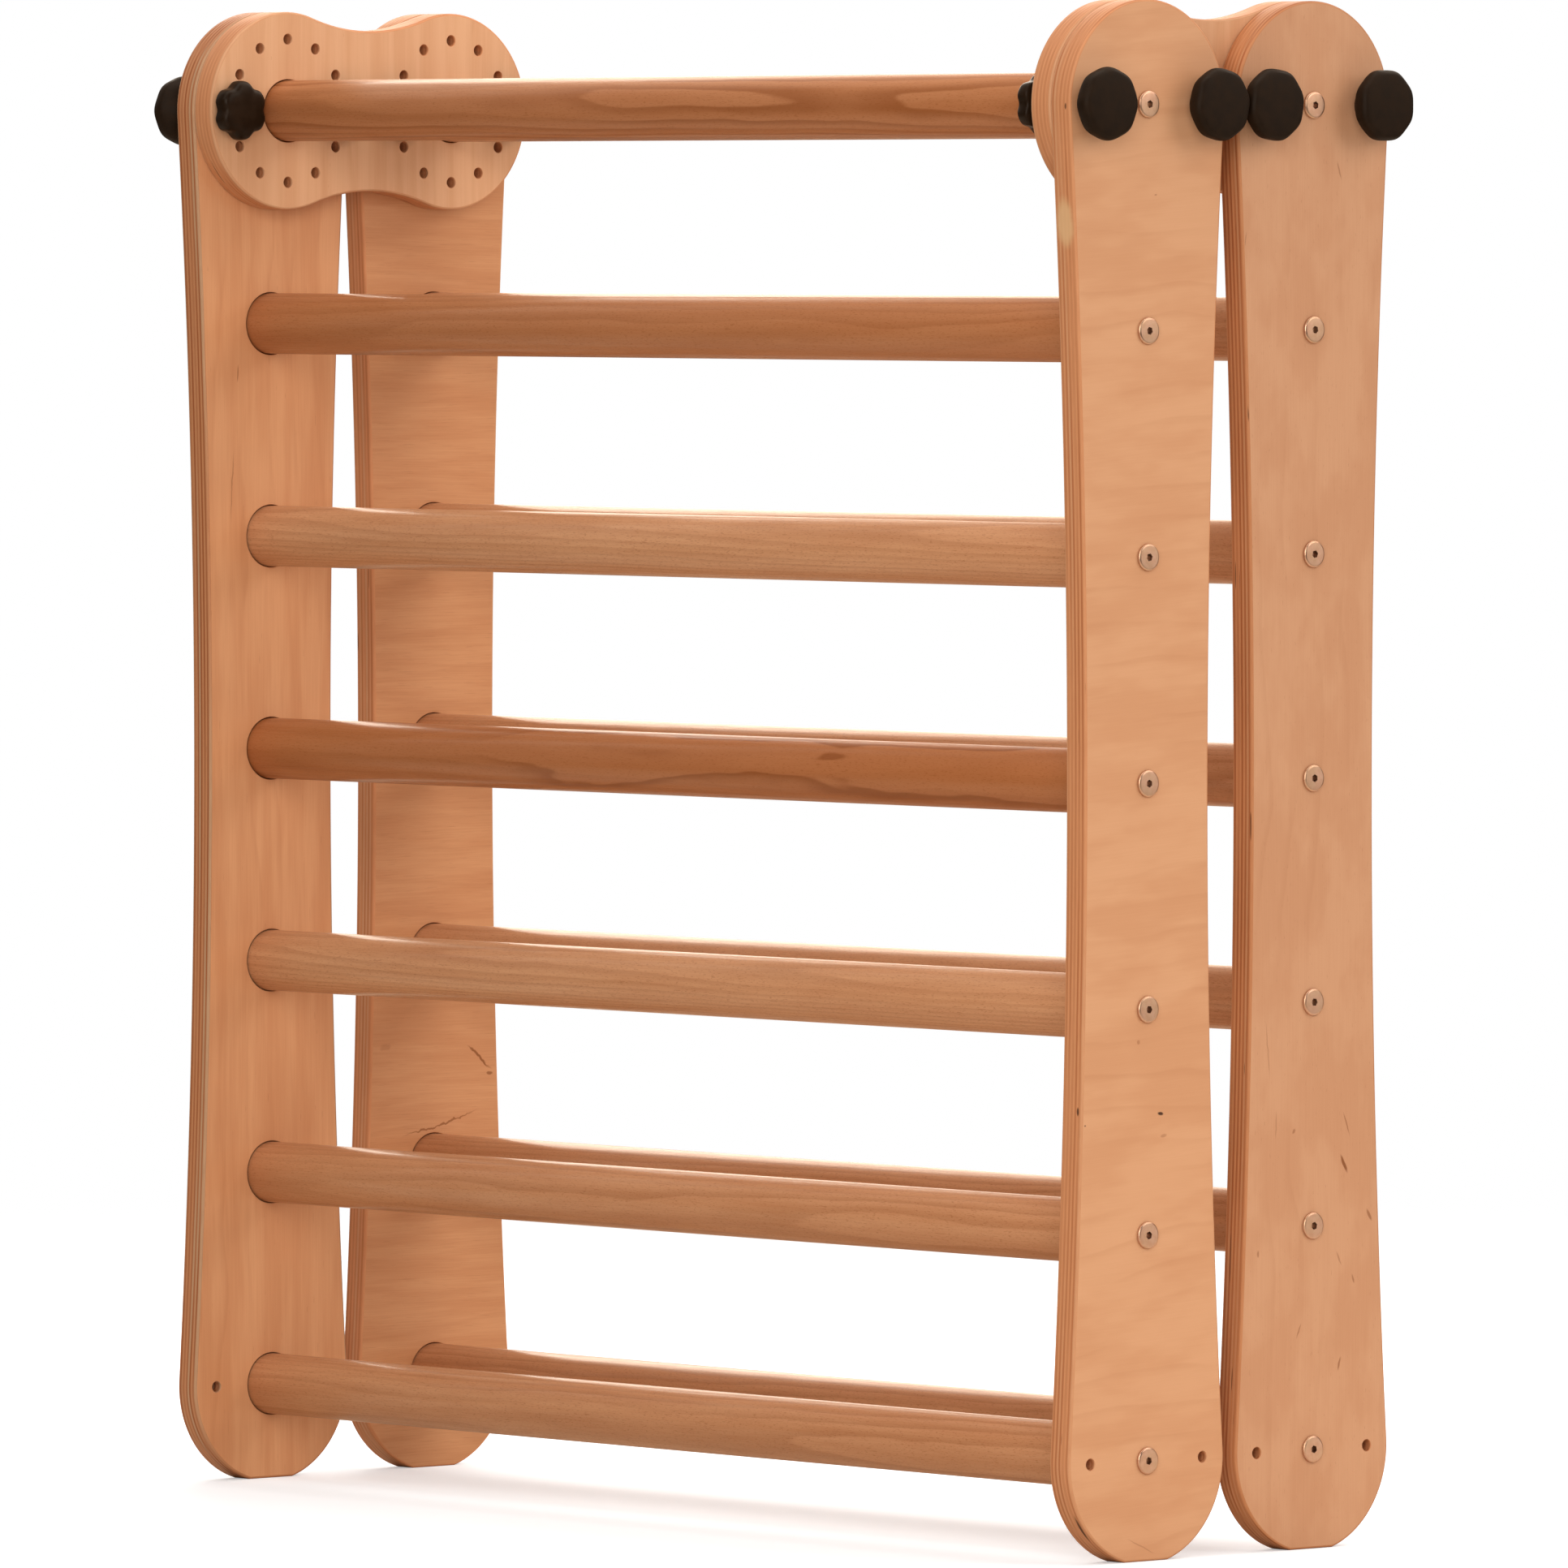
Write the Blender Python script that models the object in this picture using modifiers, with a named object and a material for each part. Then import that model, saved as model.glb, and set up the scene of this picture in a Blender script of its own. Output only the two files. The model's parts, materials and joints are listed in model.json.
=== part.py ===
"""Foldable climbing triangle, standing folded on its four feet.

Two ladders are hinged to a pair of waisted connector plates. A ladder is two plywood side boards and
seven beech rungs, each rung seated in a round recess and drawn tight by a bolt from outside. The top
rung of each ladder also passes through both connector plates and is the hinge pin. Lock knobs, two on
every board, clamp board and plate together through a ring of holes, which sets the ladder's angle.

Metres, +Z up, the floor at z = 0. Rungs run along X. The front ladder is at -Y, the rear one at +Y.
Pieces at the ends of the rungs are drawn with local +Z pointing outwards, away from the middle of
the rungs, local +Y up, and local z = 0 on the inner face of the side board.
"""
import math

import bmesh
import bpy
from mathutils import Vector

# Rungs
RUNG_COUNT = 7
RUNG_PITCH = 0.140
RUNG_DIAMETER = 0.040
INSIDE_WIDTH = 0.838            # between the inner faces of a ladder's two side boards

# Side boards
BOARD_THICKNESS = 0.018
BOARD_WEB = 0.009               # wood left behind each rung recess
BOARD_WAIST_WIDTH = 0.103       # across the board at mid height
FOOT_WIDTH = 0.036              # the flat that stands on the floor
EDGE_CHAMFER = 0.0012

# Connector plates
PLATE_THICKNESS = 0.018
PLATE_WAIST_HEIGHT = 0.106      # across the plate midway between its two rungs

# Rung bolts
BOLT_DIAMETER = 0.006
BOLT_LENGTH = 0.040             # under the head
BOLT_HEAD_DIAMETER = 0.017
BOLT_HEAD_THICKNESS = 0.0018
BOLT_HEAD_TAPER = 0.0008        # how much smaller the head's face is all round
SOCKET_ACROSS_FLATS = 0.004
SOCKET_DEPTH = 0.0024

# Lock knobs, outside the boards, each with a stud moulded in
KNOB_DIAMETER = 0.0455
KNOB_HEIGHT = 0.021
KNOB_DOME = 0.0013              # rise of the middle of the top
KNOB_SHOULDER = 0.0034          # rounding between the top and the widest band
KNOB_BAND = 0.0048              # height of the widest band
KNOB_BULGE = 0.001              # how full the taper below the band is
KNOB_COLLAR_DIAMETER = 0.024
KNOB_COLLAR_HEIGHT = 0.0034
KNOB_LOBES = 8
KNOB_FLUTE_DEPTH = 0.0013
STUD_DIAMETER = 0.006
KNOB_GAP = 0.0005               # between the knobs of the two ladders when folded

# Star knobs, inside the plates, the nuts of those studs
STAR_DIAMETER = 0.039
STAR_HEIGHT = 0.0145
STAR_HUB_DIAMETER = 0.020
STAR_HUB_HEIGHT = 0.0023
STAR_LOWER_EDGE = 0.0012        # rounding below the lobes
STAR_SHOULDER = 0.0036          # rounding on top of the lobes
STAR_LOBES = 6
STAR_FLUTE_DEPTH = 0.003
STAR_CROWN = 0.004              # solid plastic beyond the end of the threaded hole
STAR_RUNG_GAP = 0.0075          # between a star knob and the top rung

# Lock ring
LOCK_HOLE_COUNT = 12
LOCK_HOLE_DIAMETER = 0.007
LOCK_EDGE_DISTANCE = 0.018      # from a lock hole's centre to the rounded end of the board

# Fits
SEAT_GAP = 0.0003               # between faces that rest on each other
RECESS_CLEARANCE = 0.0005       # radial, round a rung in its recess
PIVOT_CLEARANCE = 0.0006        # radial, round the top rung in a connector plate
BOLT_CLEARANCE = 0.0003         # radial, round bolts and threads
CUT_THROUGH = 0.002             # how far a cutter runs past the face it opens

# Facets
RUNG_SIDES = 16
BOLT_SIDES = 8
HOLE_SIDES = 8
KNOB_SIDES = 2 * KNOB_LOBES
STAR_SIDES = 4 * STAR_LOBES
END_ARC_STEPS = 7               # on a quarter turn, roughly
SIDE_ARC_STEPS = 6
RIM_ANGLE = 60                  # degrees; edges sharper than this are rims

# Worked out from the sizes above
RUNG_RADIUS = RUNG_DIAMETER / 2
LOCK_RADIUS = RUNG_RADIUS + STAR_RUNG_GAP + STAR_DIAMETER / 2
END_RADIUS = LOCK_RADIUS + LOCK_EDGE_DISTANCE
REACH = max(LOCK_RADIUS + KNOB_DIAMETER / 2, END_RADIUS)
PIVOT_SPACING = 2 * REACH + KNOB_GAP
AXIS_SPAN = (RUNG_COUNT - 1) * RUNG_PITCH
FOOT_HEIGHT = math.sqrt(END_RADIUS ** 2 - (FOOT_WIDTH / 2) ** 2)
PIVOT_HEIGHT = FOOT_HEIGHT + AXIS_SPAN
RECESS_DEPTH = BOARD_THICKNESS - BOARD_WEB
RUNG_LENGTH = INSIDE_WIDTH + 2 * (RECESS_DEPTH - SEAT_GAP)
HEAD_SEAT = BOARD_THICKNESS + SEAT_GAP
RUNG_BORE_DEPTH = BOLT_LENGTH - BOARD_WEB
PLATE_FACE = -SEAT_GAP - PLATE_THICKNESS

LADDERS = {"front": -1, "rear": 1}
SIDES = {"left": -1, "right": 1}
LOCK_PLACES = {"front": -1, "back": 1}


def clear_scene():
    for obj in list(bpy.data.objects):
        bpy.data.objects.remove(obj, do_unlink=True)


def new_collection(name):
    collection = bpy.data.collections.new(name)
    bpy.context.scene.collection.children.link(collection)
    return collection


def new_material(name, color, roughness, metallic=0.0):
    material = bpy.data.materials.new(name)
    material.use_nodes = True
    material.diffuse_color = (*color, 1.0)
    shader = material.node_tree.nodes["Principled BSDF"]
    shader.inputs["Base Color"].default_value = (*color, 1.0)
    shader.inputs["Roughness"].default_value = roughness
    shader.inputs["Metallic"].default_value = metallic
    return material


def place(name, mesh, collection, location=(0, 0, 0), side=1, parent=None):
    """Add an object. side 1 turns local +Z to +X, side -1 turns it to -X."""
    obj = bpy.data.objects.new(name, mesh)
    collection.objects.link(obj)
    obj.location = location
    obj.rotation_euler = (math.radians(90), 0, math.radians(90) * side)
    if parent:
        obj.parent = parent
        obj.location = Vector(location) - parent.location
    return obj


def smooth(mesh, angle=35):
    mesh.shade_smooth()
    mesh.set_sharp_from_angle(angle=math.radians(angle))


def mesh_from(obj):
    """The evaluated mesh of a helper object, which is then removed."""
    depsgraph = bpy.context.evaluated_depsgraph_get()
    mesh = bpy.data.meshes.new_from_object(obj.evaluated_get(depsgraph))
    source = obj.data
    bpy.data.objects.remove(obj, do_unlink=True)
    if isinstance(source, bpy.types.Curve):
        bpy.data.curves.remove(source)
    return mesh


def arc(centre_x, centre_y, radius, start, end, steps):
    """Points from angle start to angle end, both included."""
    angles = [start + (end - start) * i / steps for i in range(steps + 1)]
    return [(centre_x + radius * math.cos(a), centre_y + radius * math.sin(a)) for a in angles]


def waisted_outline(span, waist_width, foot_width=0.0):
    """Two end circles, span apart along y, joined by side arcs that touch both and draw in at the waist.

    The outline is centred on the middle of the span. A foot_width cuts a flat across the lower end.
    """
    half_span = span / 2
    half_waist = waist_width / 2
    side_radius = (half_waist ** 2 + half_span ** 2 - END_RADIUS ** 2) / (2 * (END_RADIUS - half_waist))
    tilt = math.asin(half_span / (side_radius + END_RADIUS))
    foot_angle = math.asin(foot_width / 2 / END_RADIUS)
    quarter = math.pi / 2
    lower = arc(0, -half_span, END_RADIUS, foot_angle - quarter, tilt, END_ARC_STEPS)
    side = arc(half_waist + side_radius, 0, side_radius, math.pi + tilt, math.pi - tilt, SIDE_ARC_STEPS)
    upper = arc(0, half_span, END_RADIUS, -tilt, quarter, END_ARC_STEPS)
    right = lower + side[1:-1] + upper
    left = [(-x, y) for x, y in reversed(right[:-1])]
    if foot_width == 0:
        left.pop()
    return right + left


def slab(name, outline, thickness, bottom):
    """A flat outline with thickness, its lower face at z = bottom."""
    curve = bpy.data.curves.new(name, "CURVE")
    curve.dimensions = "2D"
    curve.fill_mode = "BOTH"
    curve.extrude = thickness / 2
    spline = curve.splines.new("POLY")
    spline.points.add(len(outline) - 1)
    for point, (x, y) in zip(spline.points, outline):
        point.co = (x, y, 0, 1)
    spline.use_cyclic_u = True
    helper = bpy.data.objects.new(name, curve)
    bpy.context.scene.collection.objects.link(helper)
    mesh = mesh_from(helper)
    bm = bmesh.new()
    bm.from_mesh(mesh)
    bmesh.ops.remove_doubles(bm, verts=bm.verts, dist=0.00001)
    bmesh.ops.translate(bm, verts=bm.verts, vec=(0, 0, bottom + thickness / 2))
    bmesh.ops.recalc_face_normals(bm, faces=bm.faces)
    bm.to_mesh(mesh)
    bm.free()
    return mesh


def pegs(name, sides, items):
    """Separate round pegs as one mesh, each item x, y, radius to its flats, z from and z to."""
    bm = bmesh.new()
    for x, y, radius, low, high in items:
        made = bmesh.ops.create_cone(
            bm, cap_ends=True, segments=sides, depth=high - low,
            radius1=radius / math.cos(math.pi / sides), radius2=radius / math.cos(math.pi / sides))
        bmesh.ops.translate(bm, verts=made["verts"], vec=(x, y, (low + high) / 2))
    mesh = bpy.data.meshes.new(name)
    bm.to_mesh(mesh)
    bm.free()
    return mesh


def turned(name, profile, sides):
    """A closed turned shape from a profile of (radius, z) points, top to bottom."""
    mesh = bpy.data.meshes.new(name)
    edges = [(i, i + 1) for i in range(len(profile) - 1)]
    mesh.from_pydata([(radius, 0, z) for radius, z in profile], edges, [])
    helper = bpy.data.objects.new(name, mesh)
    bpy.context.scene.collection.objects.link(helper)
    screw = helper.modifiers.new("turn", "SCREW")
    screw.steps = sides
    screw.render_steps = sides
    screw.use_merge_vertices = True
    screw.merge_threshold = 0.00005
    return mesh_from(helper)


def flute(mesh, lobes, depth, full_radius, plain_radius, first_hollow=0.0):
    """Press lobes evenly spaced hollows into a turned shape, fading out towards plain_radius."""
    for vertex in mesh.vertices:
        radius = math.hypot(vertex.co.x, vertex.co.y)
        if radius <= plain_radius:
            continue
        angle = math.atan2(vertex.co.y, vertex.co.x)
        hollow = (1 + math.cos(lobes * (angle - first_hollow))) / 2
        share = (radius - plain_radius) / (full_radius - plain_radius)
        scale = 1 - depth * hollow * share / radius
        vertex.co.x *= scale
        vertex.co.y *= scale


def combine(obj, tool_mesh, cutters, label, operation="DIFFERENCE"):
    """Cut tool_mesh from obj, or join it, at obj's own place. The tool stays as a wire guide."""
    tool = bpy.data.objects.new(f"{obj.name}_{label}", tool_mesh)
    cutters.objects.link(tool)
    tool.parent = obj
    tool.hide_render = True
    tool.display_type = "WIRE"
    boolean = obj.modifiers.new(label, "BOOLEAN")
    boolean.operation = operation
    boolean.solver = "EXACT"
    boolean.object = tool


def chamfer_rim(obj):
    bevel = obj.modifiers.new("chamfer", "BEVEL")
    bevel.width = EDGE_CHAMFER
    bevel.segments = 1
    bevel.limit_method = "ANGLE"
    bevel.angle_limit = math.radians(RIM_ANGLE)


def rung_heights():
    """Rung axes below the top one, as local y on a board, whose origin is on the top rung's axis."""
    return [-i * RUNG_PITCH for i in range(RUNG_COUNT)]


def lock_ring(centre_x):
    """Centres of the lock holes round one rung, the first straight across."""
    angles = [2 * math.pi * i / LOCK_HOLE_COUNT for i in range(LOCK_HOLE_COUNT)]
    return [(centre_x + LOCK_RADIUS * math.cos(a), LOCK_RADIUS * math.sin(a)) for a in angles]


class Patterns:
    """Meshes shared by the repeated pieces, and by the tools that cut them."""

    def __init__(self):
        outline = waisted_outline(AXIS_SPAN, BOARD_WAIST_WIDTH, FOOT_WIDTH)
        lowered = [(x, y - AXIS_SPAN / 2) for x, y in outline]
        self.board = slab("side_board", lowered, BOARD_THICKNESS, 0)
        turned_outline = [(y, x) for x, y in waisted_outline(PIVOT_SPACING, PLATE_WAIST_HEIGHT)]
        self.plate = slab("connector_plate", turned_outline, PLATE_THICKNESS, PLATE_FACE)
        self.recesses = self.recess_tool()
        self.board_holes = self.board_hole_tool()
        self.plate_bores = self.plate_bore_tool()
        self.plate_holes = self.plate_hole_tool()
        rung_flats = RUNG_RADIUS * math.cos(math.pi / RUNG_SIDES)
        self.rung = pegs("rung", RUNG_SIDES, [(0, 0, rung_flats, -RUNG_LENGTH / 2, RUNG_LENGTH / 2)])
        self.rung_bores = self.rung_bore_tool()
        self.bolt = turned("rung_bolt", self.bolt_profile(), BOLT_SIDES)
        self.socket = self.socket_tool()
        self.pivot_rung = turned("pivot_rung", self.pivot_rung_profile(), RUNG_SIDES)
        self.pivot_sockets = self.pivot_socket_tool()
        self.lock_knob = turned("lock_knob", self.knob_profile(), KNOB_SIDES)
        flute(self.lock_knob, KNOB_LOBES, KNOB_FLUTE_DEPTH, KNOB_DIAMETER / 2, KNOB_COLLAR_DIAMETER / 2,
              first_hollow=math.pi / KNOB_LOBES)
        stud_flats = STUD_DIAMETER / 2 * math.cos(math.pi / HOLE_SIDES)
        self.stud = pegs("stud", HOLE_SIDES, [(0, 0, stud_flats, 0, HEAD_SEAT + CUT_THROUGH)])
        self.star_knob = turned("star_knob", self.star_profile(), STAR_SIDES)
        flute(self.star_knob, STAR_LOBES, STAR_FLUTE_DEPTH, STAR_DIAMETER / 2, STAR_HUB_DIAMETER / 2)
        self.star_bore = self.star_bore_tool()
        for mesh in (self.rung, self.bolt, self.pivot_rung, self.lock_knob, self.star_knob):
            smooth(mesh)
        for mesh in (self.board, self.plate):
            smooth(mesh, 25)

    def recess_tool(self):
        radius = RUNG_RADIUS + RECESS_CLEARANCE
        return pegs("recess_tool", RUNG_SIDES,
                    [(0, y, radius, -CUT_THROUGH, RECESS_DEPTH) for y in rung_heights()])

    def board_hole_tool(self):
        """Bolt holes at the rungs, and lock holes beside the top rung and the bottom rung."""
        low, high = -CUT_THROUGH, BOARD_THICKNESS + CUT_THROUGH
        bolt = BOLT_DIAMETER / 2 + BOLT_CLEARANCE
        holes = [(0, y, bolt, low, high) for y in rung_heights()]
        for y in (0, -AXIS_SPAN):
            for x in (-LOCK_RADIUS, LOCK_RADIUS):
                holes.append((x, y, LOCK_HOLE_DIAMETER / 2, low, high))
        return pegs("board_hole_tool", HOLE_SIDES, holes)

    def plate_bore_tool(self):
        low, high = PLATE_FACE - CUT_THROUGH, CUT_THROUGH
        radius = RUNG_RADIUS + PIVOT_CLEARANCE
        return pegs("plate_bore_tool", RUNG_SIDES,
                    [(x, 0, radius, low, high) for x in (-PIVOT_SPACING / 2, PIVOT_SPACING / 2)])

    def plate_hole_tool(self):
        low, high = PLATE_FACE - CUT_THROUGH, CUT_THROUGH
        centres = lock_ring(-PIVOT_SPACING / 2) + lock_ring(PIVOT_SPACING / 2)
        return pegs("plate_hole_tool", HOLE_SIDES,
                    [(x, y, LOCK_HOLE_DIAMETER / 2, low, high) for x, y in centres])

    def rung_bore_tool(self):
        radius = BOLT_DIAMETER / 2 + BOLT_CLEARANCE
        end = RUNG_LENGTH / 2
        return pegs("rung_bore_tool", HOLE_SIDES,
                    [(0, 0, radius, end - RUNG_BORE_DEPTH, end + CUT_THROUGH),
                     (0, 0, radius, -end - CUT_THROUGH, RUNG_BORE_DEPTH - end)])

    def bolt_profile(self):
        """Head and shank, the seat under the head at z = 0."""
        return [(0, BOLT_HEAD_THICKNESS),
                (BOLT_HEAD_DIAMETER / 2 - BOLT_HEAD_TAPER, BOLT_HEAD_THICKNESS),
                (BOLT_HEAD_DIAMETER / 2, 0),
                (BOLT_DIAMETER / 2, 0),
                (BOLT_DIAMETER / 2, -BOLT_LENGTH),
                (0, -BOLT_LENGTH)]

    def socket_tool(self):
        floor = BOLT_HEAD_THICKNESS - SOCKET_DEPTH
        return pegs("socket_tool", 6,
                    [(0, 0, SOCKET_ACROSS_FLATS / 2, floor, BOLT_HEAD_THICKNESS + CUT_THROUGH)])

    def pivot_rung_profile(self):
        """The hinge pin of a ladder: its rung with the bolt at each end, drawn as one turned piece."""
        seat = INSIDE_WIDTH / 2 + HEAD_SEAT
        head, shank = self.bolt_profile()[:3], BOLT_DIAMETER / 2
        half = [(radius, seat + z) for radius, z in head]
        half += [(shank, seat), (shank, RUNG_LENGTH / 2), (RUNG_RADIUS, RUNG_LENGTH / 2)]
        return half + [(radius, -z) for radius, z in reversed(half)]

    def pivot_socket_tool(self):
        face = INSIDE_WIDTH / 2 + HEAD_SEAT + BOLT_HEAD_THICKNESS
        radius = SOCKET_ACROSS_FLATS / 2
        return pegs("pivot_socket_tool", 6,
                    [(0, 0, radius, face - SOCKET_DEPTH, face + CUT_THROUGH),
                     (0, 0, radius, -face - CUT_THROUGH, SOCKET_DEPTH - face)])

    def knob_profile(self):
        """Mushroom with a collar on the board and a low dome, its seat at z = 0 of this profile."""
        radius, collar = KNOB_DIAMETER / 2, KNOB_COLLAR_DIAMETER / 2
        band_top = KNOB_HEIGHT - KNOB_DOME - KNOB_SHOULDER
        band_foot = band_top - KNOB_BAND
        profile = [(0, KNOB_HEIGHT),
                   (radius - KNOB_SHOULDER, KNOB_HEIGHT - KNOB_DOME),
                   (radius, band_top),
                   (radius, band_foot),
                   ((radius + collar) / 2 + KNOB_BULGE, (band_foot + KNOB_COLLAR_HEIGHT) / 2),
                   (collar, KNOB_COLLAR_HEIGHT),
                   (collar, 0),
                   (0, 0)]
        return [(x, z + HEAD_SEAT) for x, z in profile]

    def star_profile(self):
        """Hub on the plate and a thick lobed disc, drawn with its seat on the plate's inner face."""
        radius, hub = STAR_DIAMETER / 2, STAR_HUB_DIAMETER / 2
        profile = [(0, 0),
                   (hub, 0),
                   (hub, STAR_HUB_HEIGHT),
                   (radius - STAR_LOWER_EDGE, STAR_HUB_HEIGHT + STAR_LOWER_EDGE),
                   (radius, STAR_HEIGHT - STAR_SHOULDER),
                   (radius - STAR_SHOULDER, STAR_HEIGHT),
                   (0, STAR_HEIGHT)]
        seat = PLATE_FACE - SEAT_GAP
        return [(x, seat - z) for x, z in profile]

    def star_bore_tool(self):
        """The threaded hole that takes the end of a stud."""
        seat = PLATE_FACE - SEAT_GAP
        radius = STUD_DIAMETER / 2 + BOLT_CLEARANCE
        floor = seat - STAR_HEIGHT + STAR_CROWN
        return pegs("star_bore_tool", HOLE_SIDES, [(0, 0, radius, floor, seat + CUT_THROUGH)])


def build_ladder(ladder, patterns, parts, cutters):
    """One ladder with its bolts, lock knobs and star knobs, all carried by an empty on its hinge axis."""
    y = LADDERS[ladder] * PIVOT_SPACING / 2
    pivot = bpy.data.objects.new(f"{ladder}_pivot", None)
    parts.objects.link(pivot)
    pivot.location = (0, y, PIVOT_HEIGHT)

    hinge_pin = place(f"{ladder}_pivot_rung", patterns.pivot_rung, parts, pivot.location, parent=pivot)
    combine(hinge_pin, patterns.pivot_sockets, cutters, "sockets")
    for number, drop in enumerate(rung_heights()[1:], start=2):
        height = PIVOT_HEIGHT + drop
        rung = place(f"{ladder}_rung_{number}", patterns.rung, parts, (0, y, height), parent=pivot)
        combine(rung, patterns.rung_bores, cutters, "bores")

    for side, direction in SIDES.items():
        x = direction * INSIDE_WIDTH / 2
        top = (x, y, PIVOT_HEIGHT)
        board = place(f"{ladder}_{side}_side_board", patterns.board, parts, top, direction, pivot)
        chamfer_rim(board)
        combine(board, patterns.recesses, cutters, "recesses")
        combine(board, patterns.board_holes, cutters, "holes")
        for number, drop in enumerate(rung_heights()[1:], start=2):
            seat = (x + direction * HEAD_SEAT, y, PIVOT_HEIGHT + drop)
            bolt = place(f"{ladder}_{side}_bolt_{number}", patterns.bolt, parts, seat, direction, pivot)
            combine(bolt, patterns.socket, cutters, "socket")
        for lock_place, offset in LOCK_PLACES.items():
            centre = (x, y + offset * LOCK_RADIUS, PIVOT_HEIGHT)
            name = f"{ladder}_{side}_lock_knob_{lock_place}"
            knob = place(name, patterns.lock_knob, parts, centre, direction, pivot)
            combine(knob, patterns.stud, cutters, "stud", "UNION")
            name = f"{ladder}_{side}_star_knob_{lock_place}"
            star = place(name, patterns.star_knob, parts, centre, direction, pivot)
            combine(star, patterns.star_bore, cutters, "bore")


def build_connector(side, patterns, parts, cutters):
    x = SIDES[side] * INSIDE_WIDTH / 2
    plate = place(f"{side}_connector_plate", patterns.plate, parts, (x, 0, PIVOT_HEIGHT), SIDES[side])
    chamfer_rim(plate)
    combine(plate, patterns.plate_bores, cutters, "bores")
    combine(plate, patterns.plate_holes, cutters, "lock_holes")


def main():
    clear_scene()
    parts = new_collection("foldable_climbing_triangle")
    cutters = new_collection("cutters")
    materials = {
        "birch": new_material("birch_plywood", (0.62, 0.35, 0.20), 0.55),
        "beech": new_material("beech", (0.60, 0.31, 0.17), 0.45),
        "zinc": new_material("yellow_zinc", (0.72, 0.58, 0.42), 0.35, 1.0),
        "knob": new_material("matt_black_plastic", (0.014, 0.011, 0.010), 0.55),
        "star": new_material("satin_black_plastic", (0.012, 0.010, 0.010), 0.35),
    }
    patterns = Patterns()
    for mesh, name in ((patterns.board, "birch"), (patterns.plate, "birch"), (patterns.rung, "beech"),
                       (patterns.pivot_rung, "beech"), (patterns.bolt, "zinc"),
                       (patterns.lock_knob, "knob"), (patterns.star_knob, "star")):
        mesh.materials.append(materials[name])
    for ladder in LADDERS:
        build_ladder(ladder, patterns, parts, cutters)
    for side in SIDES:
        build_connector(side, patterns, parts, cutters)


main()
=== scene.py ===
"""Looks of the foldable climbing triangle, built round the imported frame.

Metres, +Z up, the rungs along X. Each piece at the ends of the rungs is modelled once as a pattern, with
+X pointing outwards, x = 0 on the inner face of a side board and the top rung's axis at y = z = 0. Its
copies are turned and moved into place and that place is applied, so finished objects sit at the origin.
"""
import json
import math

import bmesh
import bpy
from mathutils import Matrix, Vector


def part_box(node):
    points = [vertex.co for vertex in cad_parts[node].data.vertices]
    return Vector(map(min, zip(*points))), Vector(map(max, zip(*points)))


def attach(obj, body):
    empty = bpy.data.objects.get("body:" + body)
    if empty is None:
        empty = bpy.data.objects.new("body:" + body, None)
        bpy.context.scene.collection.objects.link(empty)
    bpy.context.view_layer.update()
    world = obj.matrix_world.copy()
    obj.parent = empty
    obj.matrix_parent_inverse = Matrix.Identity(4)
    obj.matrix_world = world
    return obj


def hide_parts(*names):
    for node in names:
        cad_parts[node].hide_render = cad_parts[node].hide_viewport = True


bl_info = {
    "name": "Foldable climbing triangle",
    "version": (1, 0, 0),
    "blender": (4, 5, 0),
    "location": "3D View > Sidebar > Triangle",
    "description": "Builds the plywood, beech, zinc and plastic pieces of a climbing triangle",
    "category": "Object",
}

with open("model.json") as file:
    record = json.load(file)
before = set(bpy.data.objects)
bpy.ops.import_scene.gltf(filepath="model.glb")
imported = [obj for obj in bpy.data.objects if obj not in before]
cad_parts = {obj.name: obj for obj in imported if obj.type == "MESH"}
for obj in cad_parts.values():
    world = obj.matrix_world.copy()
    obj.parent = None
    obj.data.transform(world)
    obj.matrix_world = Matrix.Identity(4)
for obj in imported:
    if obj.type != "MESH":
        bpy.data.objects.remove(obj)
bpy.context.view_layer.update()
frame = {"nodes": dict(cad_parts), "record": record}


def joint_place(name):
    joint = next(j for j in frame["record"]["behaviour"]["joints"] if j["name"] == name)
    return Vector(joint["pos_m"])


# Places and sizes taken from the frame
PIVOTS = {ladder: joint_place(f"{ladder}_fold") for ladder in ("front", "rear")}
PIVOT_SPACING = PIVOTS["rear"].y - PIVOTS["front"].y
PIVOT_HEIGHT = PIVOTS["front"].z
BOARD_LOW, BOARD_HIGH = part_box("front_right_side_board")
PLATE_LOW, PLATE_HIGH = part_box("right_connector_plate")
RUNG_LOW, RUNG_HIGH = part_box("front_rung_2")
BOLT_LOW, BOLT_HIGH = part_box("front_right_bolt_2")
KNOB_LOW, KNOB_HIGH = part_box("front_right_lock_knob_front")
STAR_LOW, STAR_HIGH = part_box("front_right_star_knob_front")
PITCH = RUNG_LOW.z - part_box("front_rung_3")[0].z
RUNG_COUNT = 1 + sum(name.startswith("front_rung_") for name in frame["nodes"])
SPAN = (RUNG_COUNT - 1) * PITCH
INNER = BOARD_LOW.x
THICKNESS = BOARD_HIGH.x - BOARD_LOW.x
END_RADIUS = BOARD_HIGH.z - PIVOT_HEIGHT
FOOT_WIDTH = 2 * math.sqrt(END_RADIUS ** 2 - (PIVOT_HEIGHT - SPAN) ** 2)
RUNG_RADIUS = (RUNG_HIGH.y - RUNG_LOW.y) / 2
LOCK_RADIUS = PIVOTS["front"].y - (KNOB_LOW.y + KNOB_HIGH.y) / 2
SIDES = {"left": -1, "right": 1}
PLACES = {"front": -1, "back": 1}

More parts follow.
